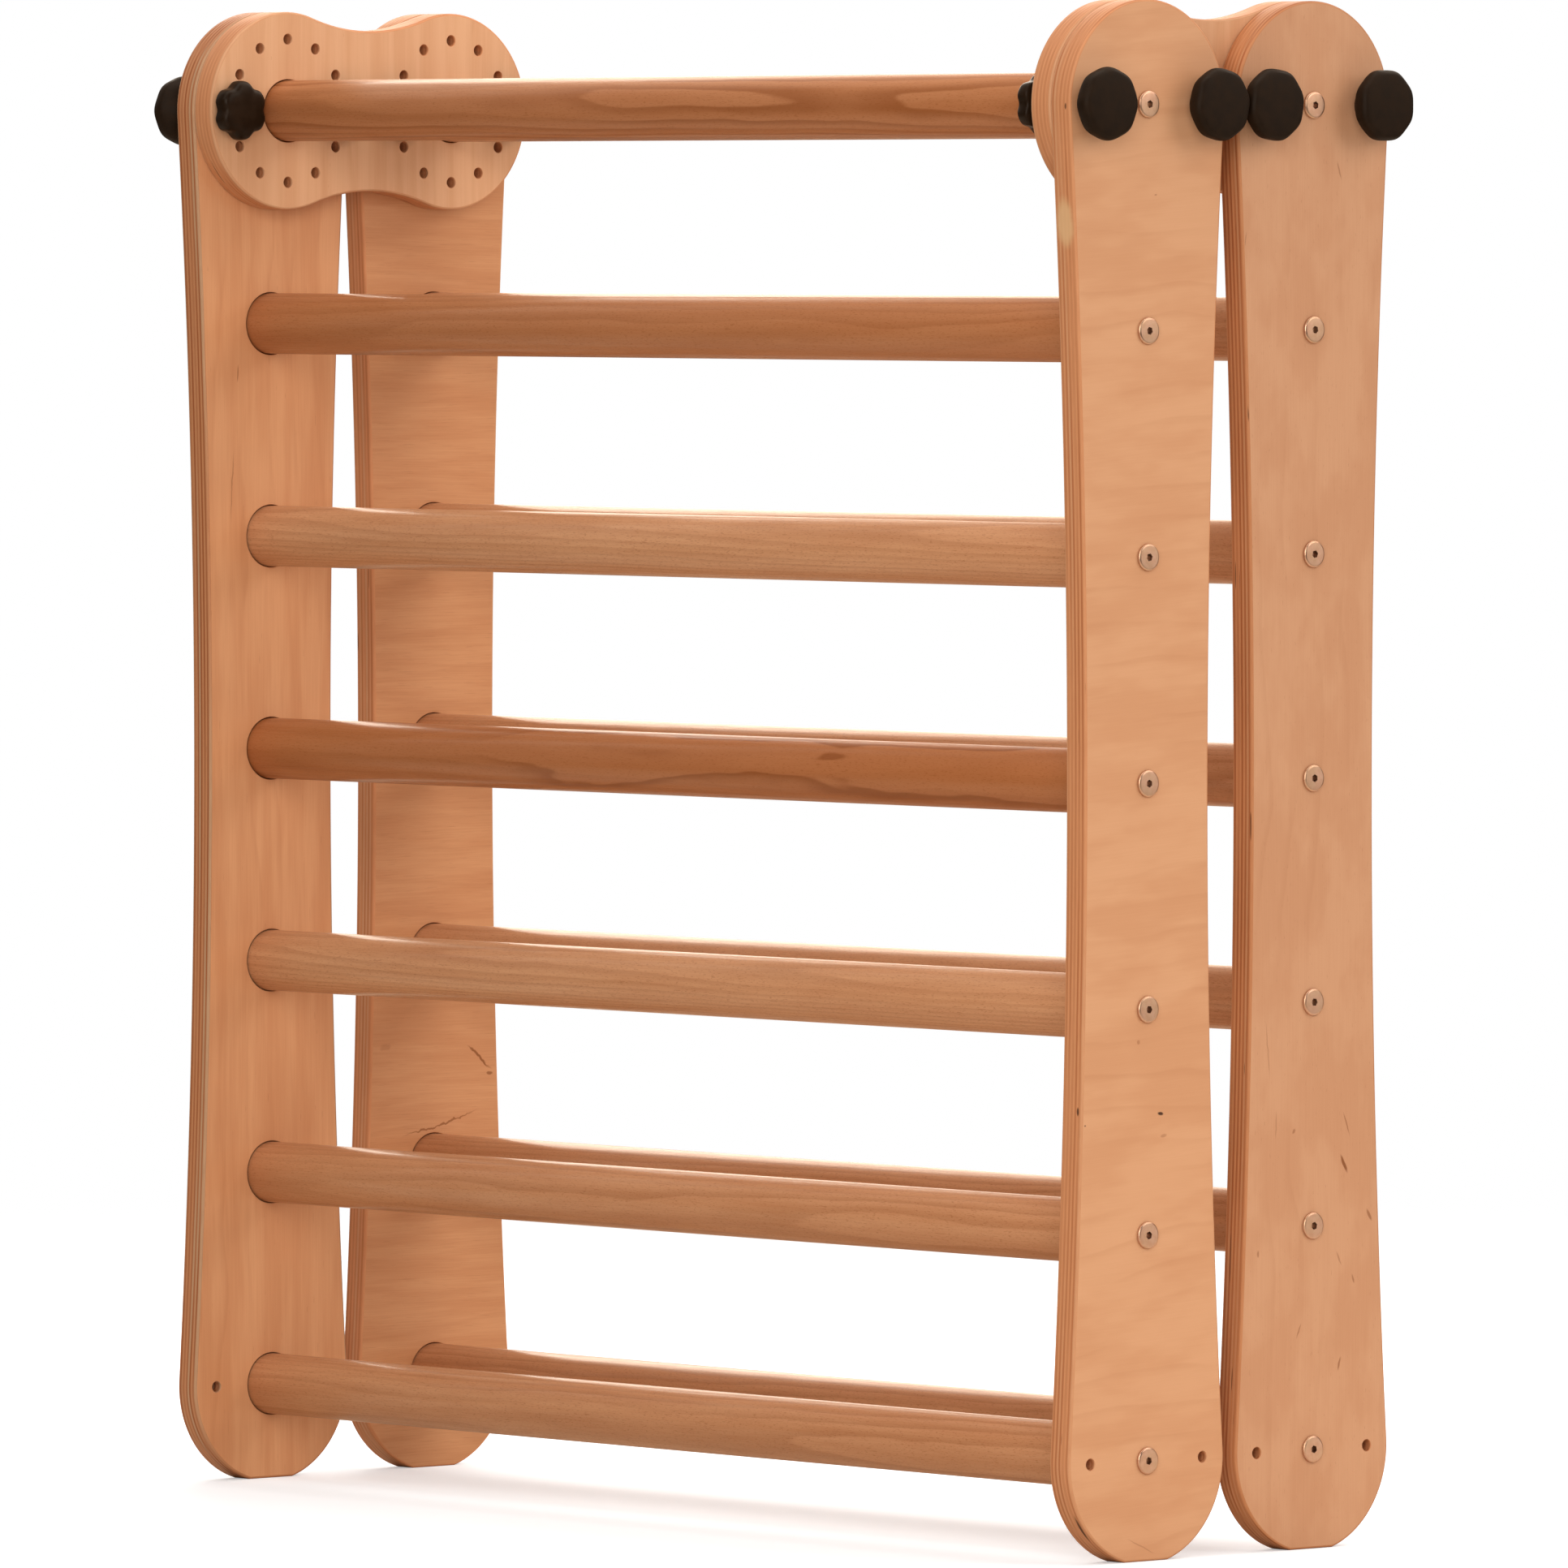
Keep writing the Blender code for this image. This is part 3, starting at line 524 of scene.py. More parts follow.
def birch_veneer(name, upright, place, tint, band, fibres, fleck, lines, slant=0.0):
    """A face of the plywood. The grain runs up the board or across it, where it may rise by a slant.

    A band has a width, a length and a contrast, and a fleck a length, a width, an amount and a strength."""
    w, colours = new_material(name, Coat_Roughness=0.32, **LACQUER)
    at = w.object_place()
    turn = (0, QUARTER, 0) if upright else (-QUARTER, -QUARTER, -math.radians(slant))
    cut = w.node("ShaderNodeMapping", {"Vector": at, "Location": place, "Rotation": turn}).outputs[0]
    width, length, contrast = band
    fleck_length, fleck_width, fleck_amount, fleck_strength = fleck
    grain = w.group("Wood grain", Vector=cut, Fibre_Width=0.0010, Fibre_Length=0.05, Wander=0.012,
                    Band_Width=width, Band_Length=length, Fleck_Length=fleck_length,
                    Fleck_Width=fleck_width, Fleck_Amount=fleck_amount)
    figure = w.group("Growth figure", Vector=cut, Spacing=0.021, Wave=2.4)
    bands = w.between(grain["Bands"], 0.0, 1.0, 0.5 - contrast / 2, 0.5 + contrast / 2)
    base = w.lay(w.mix(bands, colours.birch_light, colours.birch_warm),
                 (figure["Lines"], lines, colours.beech_warm), (grain["Fibres"], fibres, colours.ply_brown),
                 (grain["Flecks"], fleck_strength, colours.heartwood))
    base = w.mix(1.0, base, tint, "MULTIPLY")
    base = add_marks(w, w.vector("MULTIPLY", at, (0.0, 1.0, 1.0)), base, name)
    relief = w.minus(grain["Fibres"], grain["Flecks"])
    return set_surface(w, base, grain["Fibres"], (0.42, 0.52), relief, 0.08, 0.0002)


def ply_rim(name, inner_face, seed, brown, pale=0.5, tint=(1, 1, 1)):
    """The sanded edge of the plywood, whose inner face lies at x = inner_face on both sides."""
    w, colours = new_material(name, Coat_Roughness=0.35, **LACQUER)
    at = w.object_place()
    x, y, z = w.split(at)
    out = w.math("ABSOLUTE", x)
    upright = w.math("ABSOLUTE", w.split(w.node("ShaderNodeTexCoord").outputs["Normal"])[2])
    layers = w.group("Ply layers", Vector=at, Depth=w.over(w.minus(out, inner_face), THICKNESS),
                     Layers=PLY_LAYERS, End_Grain=w.between(upright, 0.45, 0.8), Seed=seed)
    base = w.lay(colours.ply_light, (layers["Pale"], pale, colours.ply_pale),
                 (layers["Brown"], brown, colours.ply_brown), (layers["Streaks"], 0.16, colours.ply_brown),
                 (layers["Glue"], 0.16, colours.fleck), (layers["Voids"], 0.8, colours.fleck))
    # A tint below one darkens a rim as painted shade, on the front left and rear right rims.
    base = add_marks(w, w.join(y, out, z), w.mix(1.0, base, tint, "MULTIPLY"), name)
    relief = w.minus(w.times(layers["Streaks"], 0.5), layers["Voids"])
    return set_surface(w, base, layers["Streaks"], (0.5, 0.62), relief, 0.2, 0.0003)


def beech(name, pith, redness, rings, spacing, wave, heart=0.0):
    """Turned beech, its grain along the rung, with year rings and the short dark rays of the wood.

    The pith is where the middle of the tree lay, measured from a rung's axis."""
    w, colours = new_material(
        name, Coat_Weight=0.22, Coat_Roughness=0.16, Coat_Tint=(1.0, 0.9, 0.8), IOR=1.45,
        Specular_IOR_Level=0.42, Specular_Tint=(1.0, 0.82, 0.66))
    own = w.group("Rung frame", Vector=w.object_place())
    at, number = own["Place"], own["Number"]
    moved = w.vector("ADD", at, w.join(w.times(number, 2.17), 0.0, 0.0))
    grain = w.group("Wood grain", Vector=moved, Fibre_Width=0.0009, Fibre_Length=0.03, Wander=0.010,
                    Band_Width=0.012, Band_Length=0.22, Fleck_Length=0.0030, Fleck_Width=0.0005,
                    Fleck_Amount=1.25)
    year = w.group("Growth rings", Vector=at, Pith=pith, Number=number, Spacing=spacing, Wave=wave)
    base = w.lay(colours.beech_light, (grain["Bands"], 0.25, colours.beech_warm))
    base = w.lay(w.mix(redness, base, colours.beech_warm), (year["Rings"], rings, colours.heartwood))
    if heart:
        flames = w.group("Growth rings", Vector=at, Pith=pith, Number=w.plus(number, 9.2),
                         Spacing=0.0144, Wave=0.055)
        base = w.lay(base, (w.math("POWER", flames["Rings"], 2.8), heart, colours.heartwood))
    base = w.lay(base, (grain["Fibres"], 0.20, colours.ply_brown), (grain["Flecks"], 0.30, colours.heartwood))
    relief = w.minus(grain["Fibres"], grain["Flecks"])
    return set_surface(w, base, grain["Fibres"], (0.38, 0.48), relief, 0.05, 0.00015)


def zinc_plate():
    """Yellow zinc plate. The bolts and the studs share it, so it's made once."""
    name = "yellow_zinc_plate"
    if name in bpy.data.materials:
        return bpy.data.materials[name]
    w, colours = new_material(name, Metallic=1.0)
    at = w.object_place()
    skin = w.group("Moulded skin", Vector=at, Grain_Size=0.0011)
    spots = w.between(w.noise(at, 260.0), 0.35, 0.65)
    base = w.lay(colours.zinc, (spots, 0.5, colours.zinc_pink), (skin["Cloud"], 0.25, colours.zinc_green))
    return set_surface(w, base, skin["Cloud"], (0.28, 0.38), skin["Height"], 0.05, 0.0001)


def socket_shade():
    """Inside of a bolt's socket, painted darker than the zinc as painted shade in its hollow."""
    w, colours = new_material("bolt_socket_dark", Metallic=0.6)
    skin = w.group("Moulded skin", Vector=w.object_place(), Grain_Size=0.0006)
    # The fleck colour and the socket colour both stand for painted shade in the hollow here.
    base = w.mix(skin["Cloud"], colours.fleck, colours.socket_painted_shade)
    return set_surface(w, base, skin["Cloud"], (0.35, 0.5), skin["Height"], 0.1, 0.0001)


def black_plastic(name, grain_size, roughness, relief):
    w, colours = new_material(name, IOR=1.5, Specular_IOR_Level=0.10)
    skin = w.group("Moulded skin", Vector=w.object_place(), Grain_Size=grain_size)
    paler = tuple(1.6 * c for c in colours.plastic)
    base = w.lay(colours.plastic, (skin["Cloud"], 0.6, paler))
    return set_surface(w, base, skin["Cloud"], (roughness, roughness + 0.08), skin["Height"], relief, 0.0001)


def deselect_everything():
    if bpy.context.mode != "OBJECT":
        bpy.ops.object.mode_set(mode="OBJECT")
    bpy.ops.object.select_all(action="DESELECT")


def select_only(obj):
    deselect_everything()
    obj.select_set(True)
    bpy.context.view_layer.objects.active = obj


def edit(obj, kind="VERT"):
    """Open a piece in edit mode with nothing selected."""
    select_only(obj)
    bpy.ops.object.mode_set(mode="EDIT")
    bpy.ops.mesh.select_mode(type=kind)
    bpy.ops.mesh.select_all(action="DESELECT")


def leave_edit():
    bpy.ops.object.mode_set(mode="OBJECT")


def pick_all():
    bpy.ops.mesh.select_all(action="SELECT")


def pick(kind, test):
    """In edit mode, select the vertices, edges or faces that pass the test."""
    bpy.ops.mesh.select_mode(type=kind)
    mesh = bpy.context.edit_object.data
    work = bmesh.from_edit_mesh(mesh)
    items = {"VERT": work.verts, "EDGE": work.edges, "FACE": work.faces}[kind]
    found = 0
    for item in items:
        wanted = bool(test(item))
        item.select_set(wanted)
        found += wanted
    work.select_flush_mode()
    bmesh.update_edit_mesh(mesh)
    if not found:
        raise RuntimeError(f"nothing to select on {bpy.context.edit_object.name}")


def fill_slot(obj, index, test):
    """In edit mode, give the faces that pass the test to a material slot."""
    pick("FACE", test)
    obj.active_material_index = index
    bpy.ops.object.material_slot_assign()


def apply_place(obj):
    select_only(obj)
    bpy.ops.object.transform_apply(location=True, rotation=True, scale=True)


def apply_modifier(obj, kind, **settings):
    modifier = obj.modifiers.new("step", kind)
    for key, value in settings.items():
        setattr(modifier, key, value)
    select_only(obj)
    bpy.ops.object.modifier_apply(modifier=modifier.name)


def throw_away(obj):
    select_only(obj)
    bpy.ops.object.delete()


def smooth(obj, angle=32, slots=1):
    """Shade a piece smooth where its faces meet at less than the angle, and give it empty material slots."""
    select_only(obj)
    bpy.ops.object.shade_smooth_by_angle(angle=math.radians(angle))
    for _ in range(slots):
        obj.data.materials.append(None)


def lathe(name, rings, sides):
    """A round piece on the X axis: a filled circle drawn out through rings of (x, radius)."""
    deselect_everything()
    x, radius = rings[0]
    bpy.ops.mesh.primitive_circle_add(vertices=sides, radius=radius, fill_type="NGON",
                                      location=(x, 0, 0), rotation=(0, QUARTER, 0))
    obj = bpy.context.object
    obj.name = name
    apply_place(obj)
    edit(obj, "FACE")
    pick_all()
    for next_x, next_radius in rings[1:]:
        bpy.ops.mesh.extrude_region_move(TRANSFORM_OT_translate={"value": (next_x - x, 0, 0)})
        share = next_radius / radius
        bpy.ops.transform.resize(value=(1, share, share), center_override=(next_x, 0, 0))
        x, radius = next_x, next_radius
    edit(obj)
    pick_all()
    bpy.ops.mesh.remove_doubles(threshold=0.000002)
    bpy.ops.mesh.normals_make_consistent(inside=False)
    leave_edit()
    return obj


def waisted_slab(name, span, waist, foot_width=0.0):
    """A plywood blank with two round ends on the lines z = 0 and z = -span, drawn in at the middle.

    Its outline is one point swung round each centre in turn, then filled and given its thickness."""
    deselect_everything()
    half_span, half_waist = span / 2, waist / 2
    side_radius = (half_waist ** 2 + half_span ** 2 - END_RADIUS ** 2) / (2 * (END_RADIUS - half_waist))
    tilt = math.asin(half_span / (side_radius + END_RADIUS))
    foot_angle = math.asin(foot_width / 2 / END_RADIUS)
    side_centre = half_waist + side_radius
    start = (0, foot_width / 2, -span - END_RADIUS * math.cos(foot_angle))
    bpy.ops.mesh.primitive_plane_add(size=0.001, location=start)
    obj = bpy.context.object
    obj.name = name
    apply_place(obj)
    edit(obj)
    pick_all()
    bpy.ops.mesh.merge(type="CENTER")
    low_end = (QUARTER - foot_angle + tilt, (0, 0, -span), 36)
    swings = [low_end, (-2 * tilt, (0, side_centre, -half_span), 28), (math.pi + 2 * tilt, (0, 0, 0), 72),
              (-2 * tilt, (0, -side_centre, -half_span), 28), low_end]
    for angle, centre, steps in swings:
        bpy.ops.mesh.spin(steps=steps, angle=-angle, center=centre, axis=(1, 0, 0))
    pick_all()
    bpy.ops.mesh.remove_doubles(threshold=0.00002)
    bpy.ops.mesh.edge_face_add()
    bpy.ops.mesh.extrude_region_move(TRANSFORM_OT_translate={"value": (THICKNESS, 0, 0)})
    pick_all()
    bpy.ops.mesh.normals_make_consistent(inside=False)
    pick("EDGE", lambda e: abs(e.verts[0].co.x - e.verts[1].co.x) < 0.00001)
    rounding = bpy.context.scene.triangle_sizes.edge_rounding
    bpy.ops.mesh.bevel(offset=rounding, segments=5, profile=0.5, affect="EDGES")
    leave_edit()
    return obj


def cut_away(obj, cutter):
    """Cut one piece from another, and throw the cutter away."""
    apply_modifier(obj, "BOOLEAN", operation="DIFFERENCE", solver="EXACT", object=cutter)
    throw_away(cutter)


def drill(obj, y, z, radius, x_from, x_to, mouths=(), sides=40):
    """Drill a round hole along X that widens a little where it leaves a face named in mouths."""
    rounding = bpy.context.scene.triangle_sizes.hole_rounding
    rings = [(x_from, radius), (x_to, radius)]
    for face in mouths:
        outwards = 1 if face > (x_from + x_to) / 2 else -1
        wide = radius + rounding + 0.0001
        flare = [(face - outwards * rounding, radius), (face + outwards * 0.0001, wide)]
        if outwards > 0:
            rings = rings[:-1] + flare + [(x_to, wide)]
        else:
            rings = [(x_from, wide)] + flare[::-1] + rings[1:]
    cutter = lathe("cutter", rings, sides)
    cutter.location = (0, y, z)
    apply_place(cutter)
    cut_away(obj, cutter)


def finish_plywood(obj, planes):
    """Slot 0 for the two veneered faces, kept flat, and slot 1 for rims and holes, kept round."""
    def veneered(face):
        middle = face.calc_center_median().x
        return abs(face.normal.x) > 0.999 and min(abs(middle - x) for x in planes) < 0.0001

    smooth(obj, slots=2)
    edit(obj, "FACE")
    fill_slot(obj, 1, lambda face: True)
    fill_slot(obj, 0, veneered)
    bpy.ops.mesh.faces_shade_flat()
    leave_edit()


def scaled_rings(profile, seat, height):
    """Rings of a profile from its seat on the X axis. The height is a share of the drawn height."""
    return [(seat + x * MM * height, r * MM) for x, r in profile]


def moulded_knob(name, rings, radius, sides, every, first, inner_radius, depth, levels):
    """A knob whose wide rings are pressed in at every so many vertices, then smoothed and brought to size.

    The smoothing evens a hollow out, so it's pressed deeper than it ends up."""
    knob = lathe(name, rings, sides)
    edit(knob)

    def in_hollow(vertex):
        index = round(math.atan2(vertex.co.z, vertex.co.y) / (2 * math.pi / sides))
        return math.hypot(vertex.co.y, vertex.co.z) >= inner_radius and (index - first) % every == 0

    pick("VERT", in_hollow)
    share = (radius - depth) / radius
    bpy.ops.transform.resize(value=(1, share, share), center_override=(0, 0, 0))
    leave_edit()
    apply_modifier(knob, "SUBSURF", levels=levels, render_levels=levels)
    reach = max(math.hypot(v.co.y, v.co.z) for v in knob.data.vertices)
    knob.scale = (1, radius / reach, radius / reach)
    apply_place(knob)
    smooth(knob, 60)
    return knob


def put_in_place(pattern, name, direction, place, materials, turn=0):
    """A copy of a pattern with a mesh of its own, outwards to +X (1) or -X (-1), its place applied."""
    select_only(pattern)
    bpy.ops.object.duplicate(linked=False)
    obj = bpy.context.object
    obj.name = name
    obj.data.name = name
    for slot, material in zip(obj.material_slots, materials):
        slot.material = material
    if turn:
        obj.rotation_euler = (math.radians(turn), 0, 0)
        apply_place(obj)
    obj.rotation_euler = (0, 0, 0 if direction > 0 else math.pi)
    obj.location = place
    apply_place(obj)
    return obj


def rung_places(pivot):
    """Number and height of each rung of a ladder, from the top rung down."""
    return [(number, pivot.z - (number - 1) * PITCH) for number in range(1, RUNG_COUNT + 1)]


def knob_places(kind):
    """Ladder, place, name, direction and centre of each of the eight knobs of a kind."""
    for ladder, pivot in PIVOTS.items():
        for side, direction in SIDES.items():
            for place, offset in PLACES.items():
                centre = (direction * INNER, pivot.y + offset * LOCK_RADIUS, pivot.z)
                yield ladder, place, f"{ladder}_{side}_{kind}_{place}", direction, centre


def dress(obj, body, slot, *nodes):
    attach(obj, body)
    if nodes:
        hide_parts(*nodes)


class TRIANGLE_OT_side_boards(bpy.types.Operator):
    """Cut the four side boards with their rung recesses, bolt holes and lock holes"""
    bl_idname = "triangle.side_boards"
    bl_label = "Side boards"

    def execute(self, context):
        sizes = context.scene.triangle_sizes
        pattern = waisted_slab("board_pattern", SPAN, sizes.board_waist, FOOT_WIDTH)
        recess, bolt = RUNG_RADIUS + sizes.recess_clearance, sizes.bolt_shank / 2 + BOLT_CLEARANCE
        start, end = -OVERRUN, THICKNESS + OVERRUN
        for step in range(RUNG_COUNT):
            z = -step * PITCH
            drill(pattern, 0, z, recess, start, sizes.recess_depth, (0.0,), 72)
            drill(pattern, 0, z, bolt, start, end, (), 32)
        for z in (0.0, -SPAN):
            for y in (-LOCK_RADIUS, LOCK_RADIUS):
                drill(pattern, y, z, sizes.lock_hole / 2, start, end, (0.0, THICKNESS))
        finish_plywood(pattern, (0.0, THICKNESS))
        for (ladder, side), (face, edge) in BOARD_LOOKS.items():
            direction = SIDES[side]
            place = (direction * INNER, PIVOTS[ladder].y, PIVOT_HEIGHT)
            name = f"{ladder}_{side}_side_board"
            veneer = birch_veneer(f"birch_face_{ladder}_{side}", **face)
            rim = ply_rim(f"plywood_rim_{ladder}_{side}", INNER, **edge)
            board = put_in_place(pattern, name + "_birch", direction, place, (veneer, rim))
            dress(board, f"{ladder}_ladder", "birch_plywood", name)
        throw_away(pattern)
        return {"FINISHED"}


class TRIANGLE_OT_connector_plates(bpy.types.Operator):
    """Cut the two connector plates with their bores and rings of lock holes"""
    bl_idname = "triangle.connector_plates"
    bl_label = "Connector plates"

    def execute(self, context):
        sizes = context.scene.triangle_sizes
        faces = low, high = PLATE_LOW.x - INNER, PLATE_HIGH.x - INNER
        pattern = waisted_slab("plate_pattern", PIVOT_SPACING, sizes.plate_waist)
        pattern.rotation_euler = (QUARTER, 0, 0)
        pattern.location = (low, -PIVOT_SPACING / 2, 0)
        apply_place(pattern)
        start, end = low - OVERRUN, high + OVERRUN
        for centre in (-PIVOT_SPACING / 2, PIVOT_SPACING / 2):
            drill(pattern, centre, 0, RUNG_RADIUS + PIVOT_CLEARANCE, start, end, faces, 72)
            for step in range(sizes.lock_holes):
                angle = 2 * math.pi * step / sizes.lock_holes
                y, z = centre + LOCK_RADIUS * math.cos(angle), LOCK_RADIUS * math.sin(angle)
                drill(pattern, y, z, sizes.lock_hole / 2, start, end, faces)
        finish_plywood(pattern, faces)
        rim = ply_rim("plywood_rim_of_plates", PLATE_LOW.x, seed=71.0, brown=0.5)
        for side, direction in SIDES.items():
            veneer = birch_veneer(
                f"birch_face_{side}_plate", upright=True, place=(6.1 + direction, 0.2, 0.0),
                tint=(1.06, 1.16, 1.28), band=(0.012, 0.3, 0.6), fibres=0.08,
                fleck=(0.007, 0.0006, 0.3, 0.4), lines=0.08)
            name = f"{side}_connector_plate"
            place = (direction * INNER, 0, PIVOT_HEIGHT)
            plate = put_in_place(pattern, name + "_birch", direction, place, (veneer, rim))
            dress(plate, "connectors", "birch_plywood", name)
        throw_away(pattern)
        return {"FINISHED"}


class TRIANGLE_OT_rungs(bpy.types.Operator):
    """Turn the fourteen beech rungs, bored at both ends for their bolts"""
    bl_idname = "triangle.rungs"
    bl_label = "Rungs"

    def execute(self, context):
        sizes = context.scene.triangle_sizes
        end, edge, bore = RUNG_HIGH.x, sizes.rung_edge, sizes.bolt_shank / 2 + BOLT_CLEARANCE
        floor = end - BORE_DEPTH
        halfway = edge * 0.29
        rounded = [(0.0, edge), (halfway, halfway), (edge, 0.0)]
        left = [(-floor, bore), (-end, bore)]
        left += [(inwards - end, RUNG_RADIUS - less) for inwards, less in rounded]
        pattern = lathe("rung_pattern", left + [(-x, radius) for x, radius in reversed(left)], 72)
        smooth(pattern)
        woods = {kind: beech("beech_" + kind, *look) for kind, look in BEECH_LOOKS.items()}
        for ladder, pivot in PIVOTS.items():
            for (number, z), kind in zip(rung_places(pivot), RUNG_KINDS[ladder]):
                node = f"{ladder}_rung_{number}" if number > 1 else f"{ladder}_pivot_rung"
                rung = put_in_place(pattern, node + "_beech", 1, (0, pivot.y, z), (woods[kind],),
                                    RUNG_TURN * number)
                dress(rung, f"{ladder}_ladder", "beech", node)
        throw_away(pattern)
        return {"FINISHED"}


class TRIANGLE_OT_bolts(bpy.types.Operator):
    """Make the 28 flat-headed bolts with hexagon sockets"""
    bl_idname = "triangle.bolts"
    bl_label = "Bolts"

    def execute(self, context):
        sizes = context.scene.triangle_sizes
        tip, face = BOLT_LOW.x - INNER, BOLT_HIGH.x - INNER
        rim, shank = (BOLT_HIGH.y - BOLT_LOW.y) / 2, sizes.bolt_shank / 2
        rise = face - SEAT
        dome = [(0.35, 0.0), (0.62, 0.00018), (0.84, 0.0005), (0.96, 0.0010)]
        chamfer, soft = 0.0008, 0.0002
        rings = [(tip, shank - chamfer), (tip + chamfer, shank), (SEAT, shank), (SEAT, rim - soft),
                 (SEAT + soft, rim)] + [(SEAT + share * rise, rim - less) for share, less in dome]
        pattern = lathe("bolt_pattern", rings + [(face, rim - 0.0016)], 56)
        hexagon = sizes.hex_socket / math.sqrt(3)
        mouth = hexagon + 0.0004
        cut_away(pattern, lathe("cutter", [(face - 0.0024, hexagon), (face - 0.0003, hexagon),
                                           (face + 0.0002, mouth), (face + 0.002, mouth)], 6))
        smooth(pattern, 28, 2)
        edit(pattern, "FACE")
        # Slot 1, the faces of the socket, takes socket_shade's painted shade.
        fill_slot(pattern, 1, lambda f: f.calc_center_median().x > SEAT and max(
            math.hypot(v.co.y, v.co.z) for v in f.verts) < hexagon + 0.0006)
        leave_edit()
        materials = (zinc_plate(), socket_shade())
        for ladder, pivot in PIVOTS.items():
            for side, direction in SIDES.items():
                for number, z in rung_places(pivot):
                    name = f"{ladder}_{side}_bolt_{number}"
                    bolt = put_in_place(pattern, name + "_zinc", direction, (direction * INNER, pivot.y, z),
                                        materials, BOLT_TURN * number)
                    dress(bolt, f"{ladder}_ladder", "yellow_zinc", *([name] if number > 1 else []))
        throw_away(pattern)
        return {"FINISHED"}


class TRIANGLE_OT_lock_knobs(bpy.types.Operator):
    """Mould the eight lock knobs and thread their studs"""
    bl_idname = "triangle.lock_knobs"
    bl_label = "Lock knobs"

    def execute(self, context):
        sizes = context.scene.triangle_sizes
        radius = (KNOB_HIGH.y - KNOB_LOW.y) / 2
        height = KNOB_HIGH.x - INNER - SEAT
        rings = scaled_rings(LOCK_KNOB_PROFILE, SEAT, height / LOCK_KNOB_HEIGHT)
        pattern = moulded_knob("lock_knob_pattern", rings, radius, sides=16, every=2, first=1,
                               inner_radius=0.0195, depth=sizes.knob_scallop * 1.35, levels=3)
        stud = self.stud_pattern()
        plastic = black_plastic("black_plastic_fine_grained", grain_size=0.0005, roughness=0.50, relief=0.12)
        zinc = zinc_plate()
        for ladder, place, name, direction, centre in knob_places("lock_knob"):
            knob = put_in_place(pattern, name + "_moulded", direction, centre, (plastic,),
                                LOCK_KNOB_TURNS[ladder, place])
            dress(knob, name, "black_plastic_matt", name)
            thread = put_in_place(stud, name + "_stud", direction, centre, (zinc,))
            dress(thread, name, "yellow_zinc")
        throw_away(pattern)
        throw_away(stud)
        return {"FINISHED"}

    def stud_pattern(self):
        """The threaded stud, from the board's inner face to inside the knob."""
        crest, pitch = 0.003, 0.001
        root = crest - 0.0006
        x = 0.0004
        rings = [(0.0, root - x), (x, root)]
        while x + pitch < SEAT + 0.001:
            rings += [(x + 0.4 * pitch, crest), (x + 0.6 * pitch, crest), (x + pitch, root)]
            x += pitch
        stud = lathe("stud_pattern", rings, 28)
        smooth(stud, 40)
        return stud


class TRIANGLE_OT_star_knobs(bpy.types.Operator):
    """Mould the eight six-lobed star knobs inside the connector plates"""
    bl_idname = "triangle.star_knobs"
    bl_label = "Star knobs"

    def execute(self, context):
        sizes = context.scene.triangle_sizes
        radius = (STAR_HIGH.z - STAR_LOW.z) / 2
        bore = (sizes.bolt_shank / 2 + BOLT_CLEARANCE) * 1000
        profile = [(10.5, bore), (0.3, bore), (0.0, bore + 0.3)] + STAR_KNOB_PROFILE
        inwards = (STAR_LOW.x - STAR_HIGH.x) / STAR_KNOB_HEIGHT
        rings = scaled_rings(profile, STAR_HIGH.x - INNER, inwards)
        pattern = moulded_knob("star_knob_pattern", rings, radius, sides=24, every=4, first=0,
                               inner_radius=0.0135, depth=sizes.star_flute * 1.25, levels=2)
        plastic = black_plastic("black_plastic_satin_smooth", grain_size=0.0012, roughness=0.30, relief=0.05)
        for *_, name, direction, centre in knob_places("star_knob"):
            star = put_in_place(pattern, name + "_moulded", direction, centre, (plastic,))
            dress(star, name, "black_plastic_satin", name)
        throw_away(pattern)
        return {"FINISHED"}


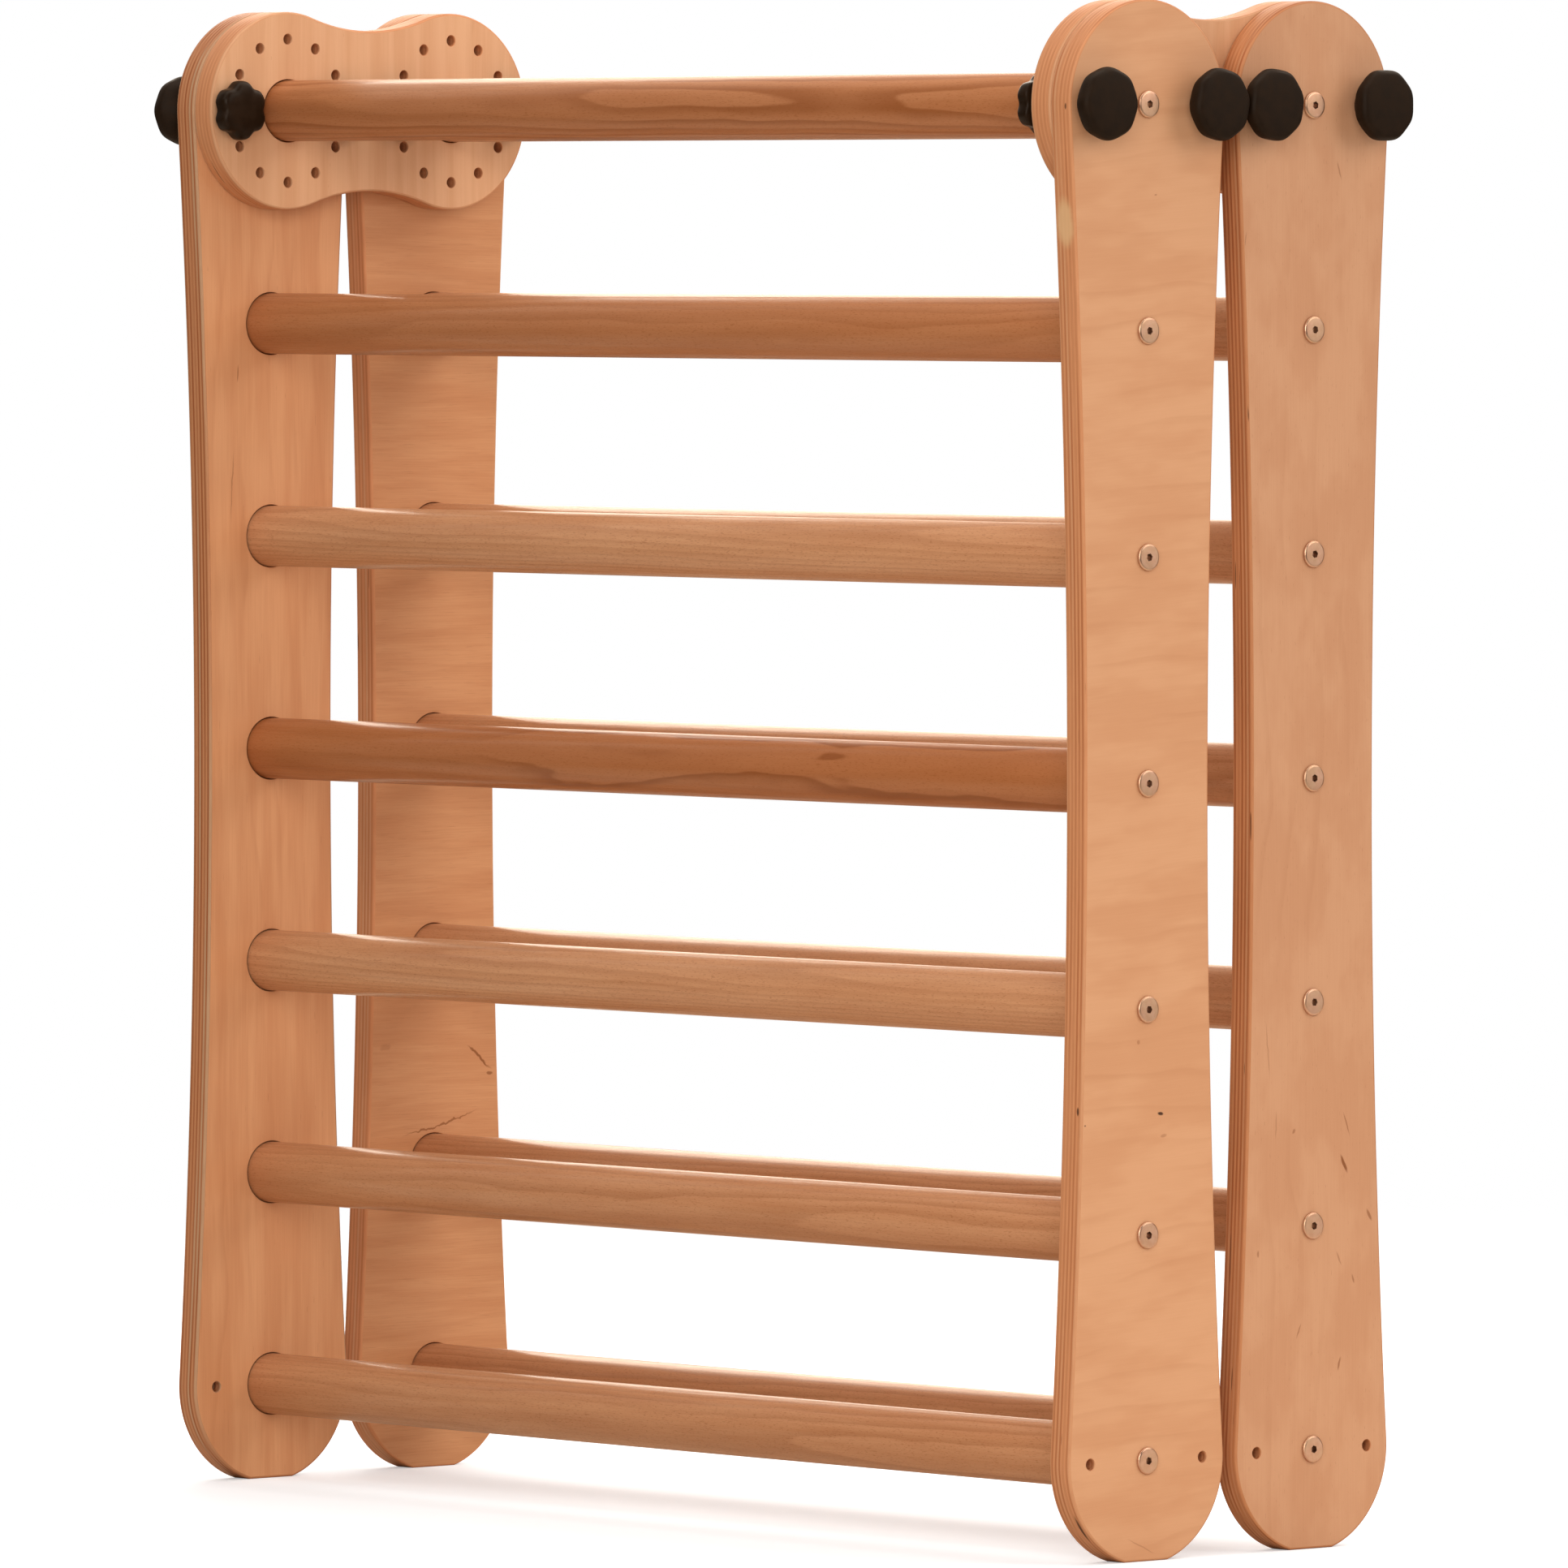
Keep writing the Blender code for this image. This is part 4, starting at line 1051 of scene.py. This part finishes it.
class TRIANGLE_OT_stage(bpy.types.Operator):
    """Lay the pale floor, hang the soft lights and set the camera"""
    bl_idname = "triangle.stage"
    bl_label = "Stage"

    def execute(self, context):
        scene, stage = context.scene, context.scene.triangle_stage
        scene.view_settings.view_transform = "Standard"
        self.floor(stage)
        self.room(scene, stage)
        for key, place in LIGHT_PLACES.items():
            self.soft_light(scene, key + "_light", getattr(stage, key), Vector(place), stage.light_colour)
        camera = bpy.data.cameras.new("camera")
        camera.sensor_width = SENSOR_WIDTH
        camera.lens = stage.lens
        camera.clip_end = 60.0
        turn = (QUARTER - stage.camera_tilt, 0, stage.camera_turn)
        scene.camera = self.hang(scene, "camera", camera, stage.camera_place, turn)
        return {"FINISHED"}

    def hang(self, scene, name, data, place, turn):
        holder = bpy.data.objects.new(name, data)
        scene.collection.objects.link(holder)
        holder.location = place
        holder.rotation_euler = turn
        return holder

    def floor(self, stage):
        """A disc that fades out into the white room, so no edge of it shows."""
        deselect_everything()
        reach = stage.floor_reach
        bpy.ops.mesh.primitive_circle_add(vertices=96, radius=reach, fill_type="NGON")
        floor = bpy.context.object
        floor.name = "floor"
        edit(floor, "FACE")
        pick_all()
        bpy.ops.mesh.inset(thickness=reach * 0.4)
        leave_edit()
        w = new_material("pale_floor", Roughness=0.9, Emission_Strength=stage.floor_glow)[0]
        at = w.object_place()
        x, y = w.split(at)[:2]
        distance = w.math("SQRT", w.plus(w.times(x, x), w.times(y, y)))
        seen = w.node("ShaderNodeLightPath").outputs["Is Camera Ray"]
        pale = w.mix(w.between(w.noise(at, 2.0), 0.3, 0.7), stage.floor_cloud, stage.floor_pale)
        w.set_shader(Base_Color=w.mix(seen, stage.floor_bounce, pale),
                     Emission_Color=w.mix(seen, (0, 0, 0), (1, 1, 1)),
                     Alpha=w.between(distance, reach * 0.35, reach * 0.98, 1.0, 0.0))
        floor.data.materials.append(w.material)

    def room(self, scene, stage):
        """White all round. The camera sees it at full white, and the object is lit by it more softly."""
        world = bpy.data.worlds.new("white_room")
        world.use_nodes = True
        scene.world = world
        w = Wiring(world.node_tree)
        background = world.node_tree.nodes["Background"]
        seen = w.node("ShaderNodeLightPath").outputs["Is Camera Ray"]
        w.feed(background.inputs["Color"], w.mix(seen, stage.light_colour, (1, 1, 1)))
        inputs = {"Value": seen, "To Min": stage.sky, "To Max": 1.0}
        w.feed(background.inputs["Strength"], w.node("ShaderNodeMapRange", inputs).outputs[0])

    def soft_light(self, scene, name, power, place, tint):
        light = bpy.data.lights.new(name, "AREA")
        light.energy = power
        light.color = tint
        light.shape = "SQUARE"
        light.size = LIGHT_SIZE
        self.hang(scene, name, light, place, (LIGHT_AIM - place).to_track_quat("-Z", "Y").to_euler())


class TRIANGLE_PT_pieces(bpy.types.Panel):
    """Lists the steps that build the climbing triangle"""
    bl_idname = "TRIANGLE_PT_pieces"
    bl_label = "Climbing triangle"
    bl_space_type = "VIEW_3D"
    bl_region_type = "UI"
    bl_category = "Triangle"

    def draw(self, context):
        for step in STEPS:
            self.layout.operator(step.bl_idname)
        for name, group in SETTINGS.items():
            box = self.layout.box()
            for setting in group.__annotations__:
                box.prop(getattr(context.scene, name), setting)


STEPS = (TRIANGLE_OT_side_boards, TRIANGLE_OT_connector_plates, TRIANGLE_OT_rungs, TRIANGLE_OT_bolts,
         TRIANGLE_OT_lock_knobs, TRIANGLE_OT_star_knobs, TRIANGLE_OT_stage)
SETTINGS = {"triangle_sizes": TriangleSizes, "triangle_colours": TriangleColours,
            "triangle_stage": TriangleStage}
CLASSES = (*SETTINGS.values(), *STEPS, TRIANGLE_PT_pieces)


def register():
    for cls in CLASSES:
        bpy.utils.register_class(cls)
    for name, group in SETTINGS.items():
        setattr(bpy.types.Scene, name, bpy.props.PointerProperty(type=group))


def unregister():
    for name in SETTINGS:
        delattr(bpy.types.Scene, name)
    for cls in reversed(CLASSES):
        bpy.utils.unregister_class(cls)


def main():
    register()
    bpy.ops.triangle.side_boards()
    bpy.ops.triangle.connector_plates()
    bpy.ops.triangle.rungs()
    bpy.ops.triangle.bolts()
    bpy.ops.triangle.lock_knobs()
    bpy.ops.triangle.star_knobs()
    bpy.ops.triangle.stage()


if __name__ == "__main__":
    main()
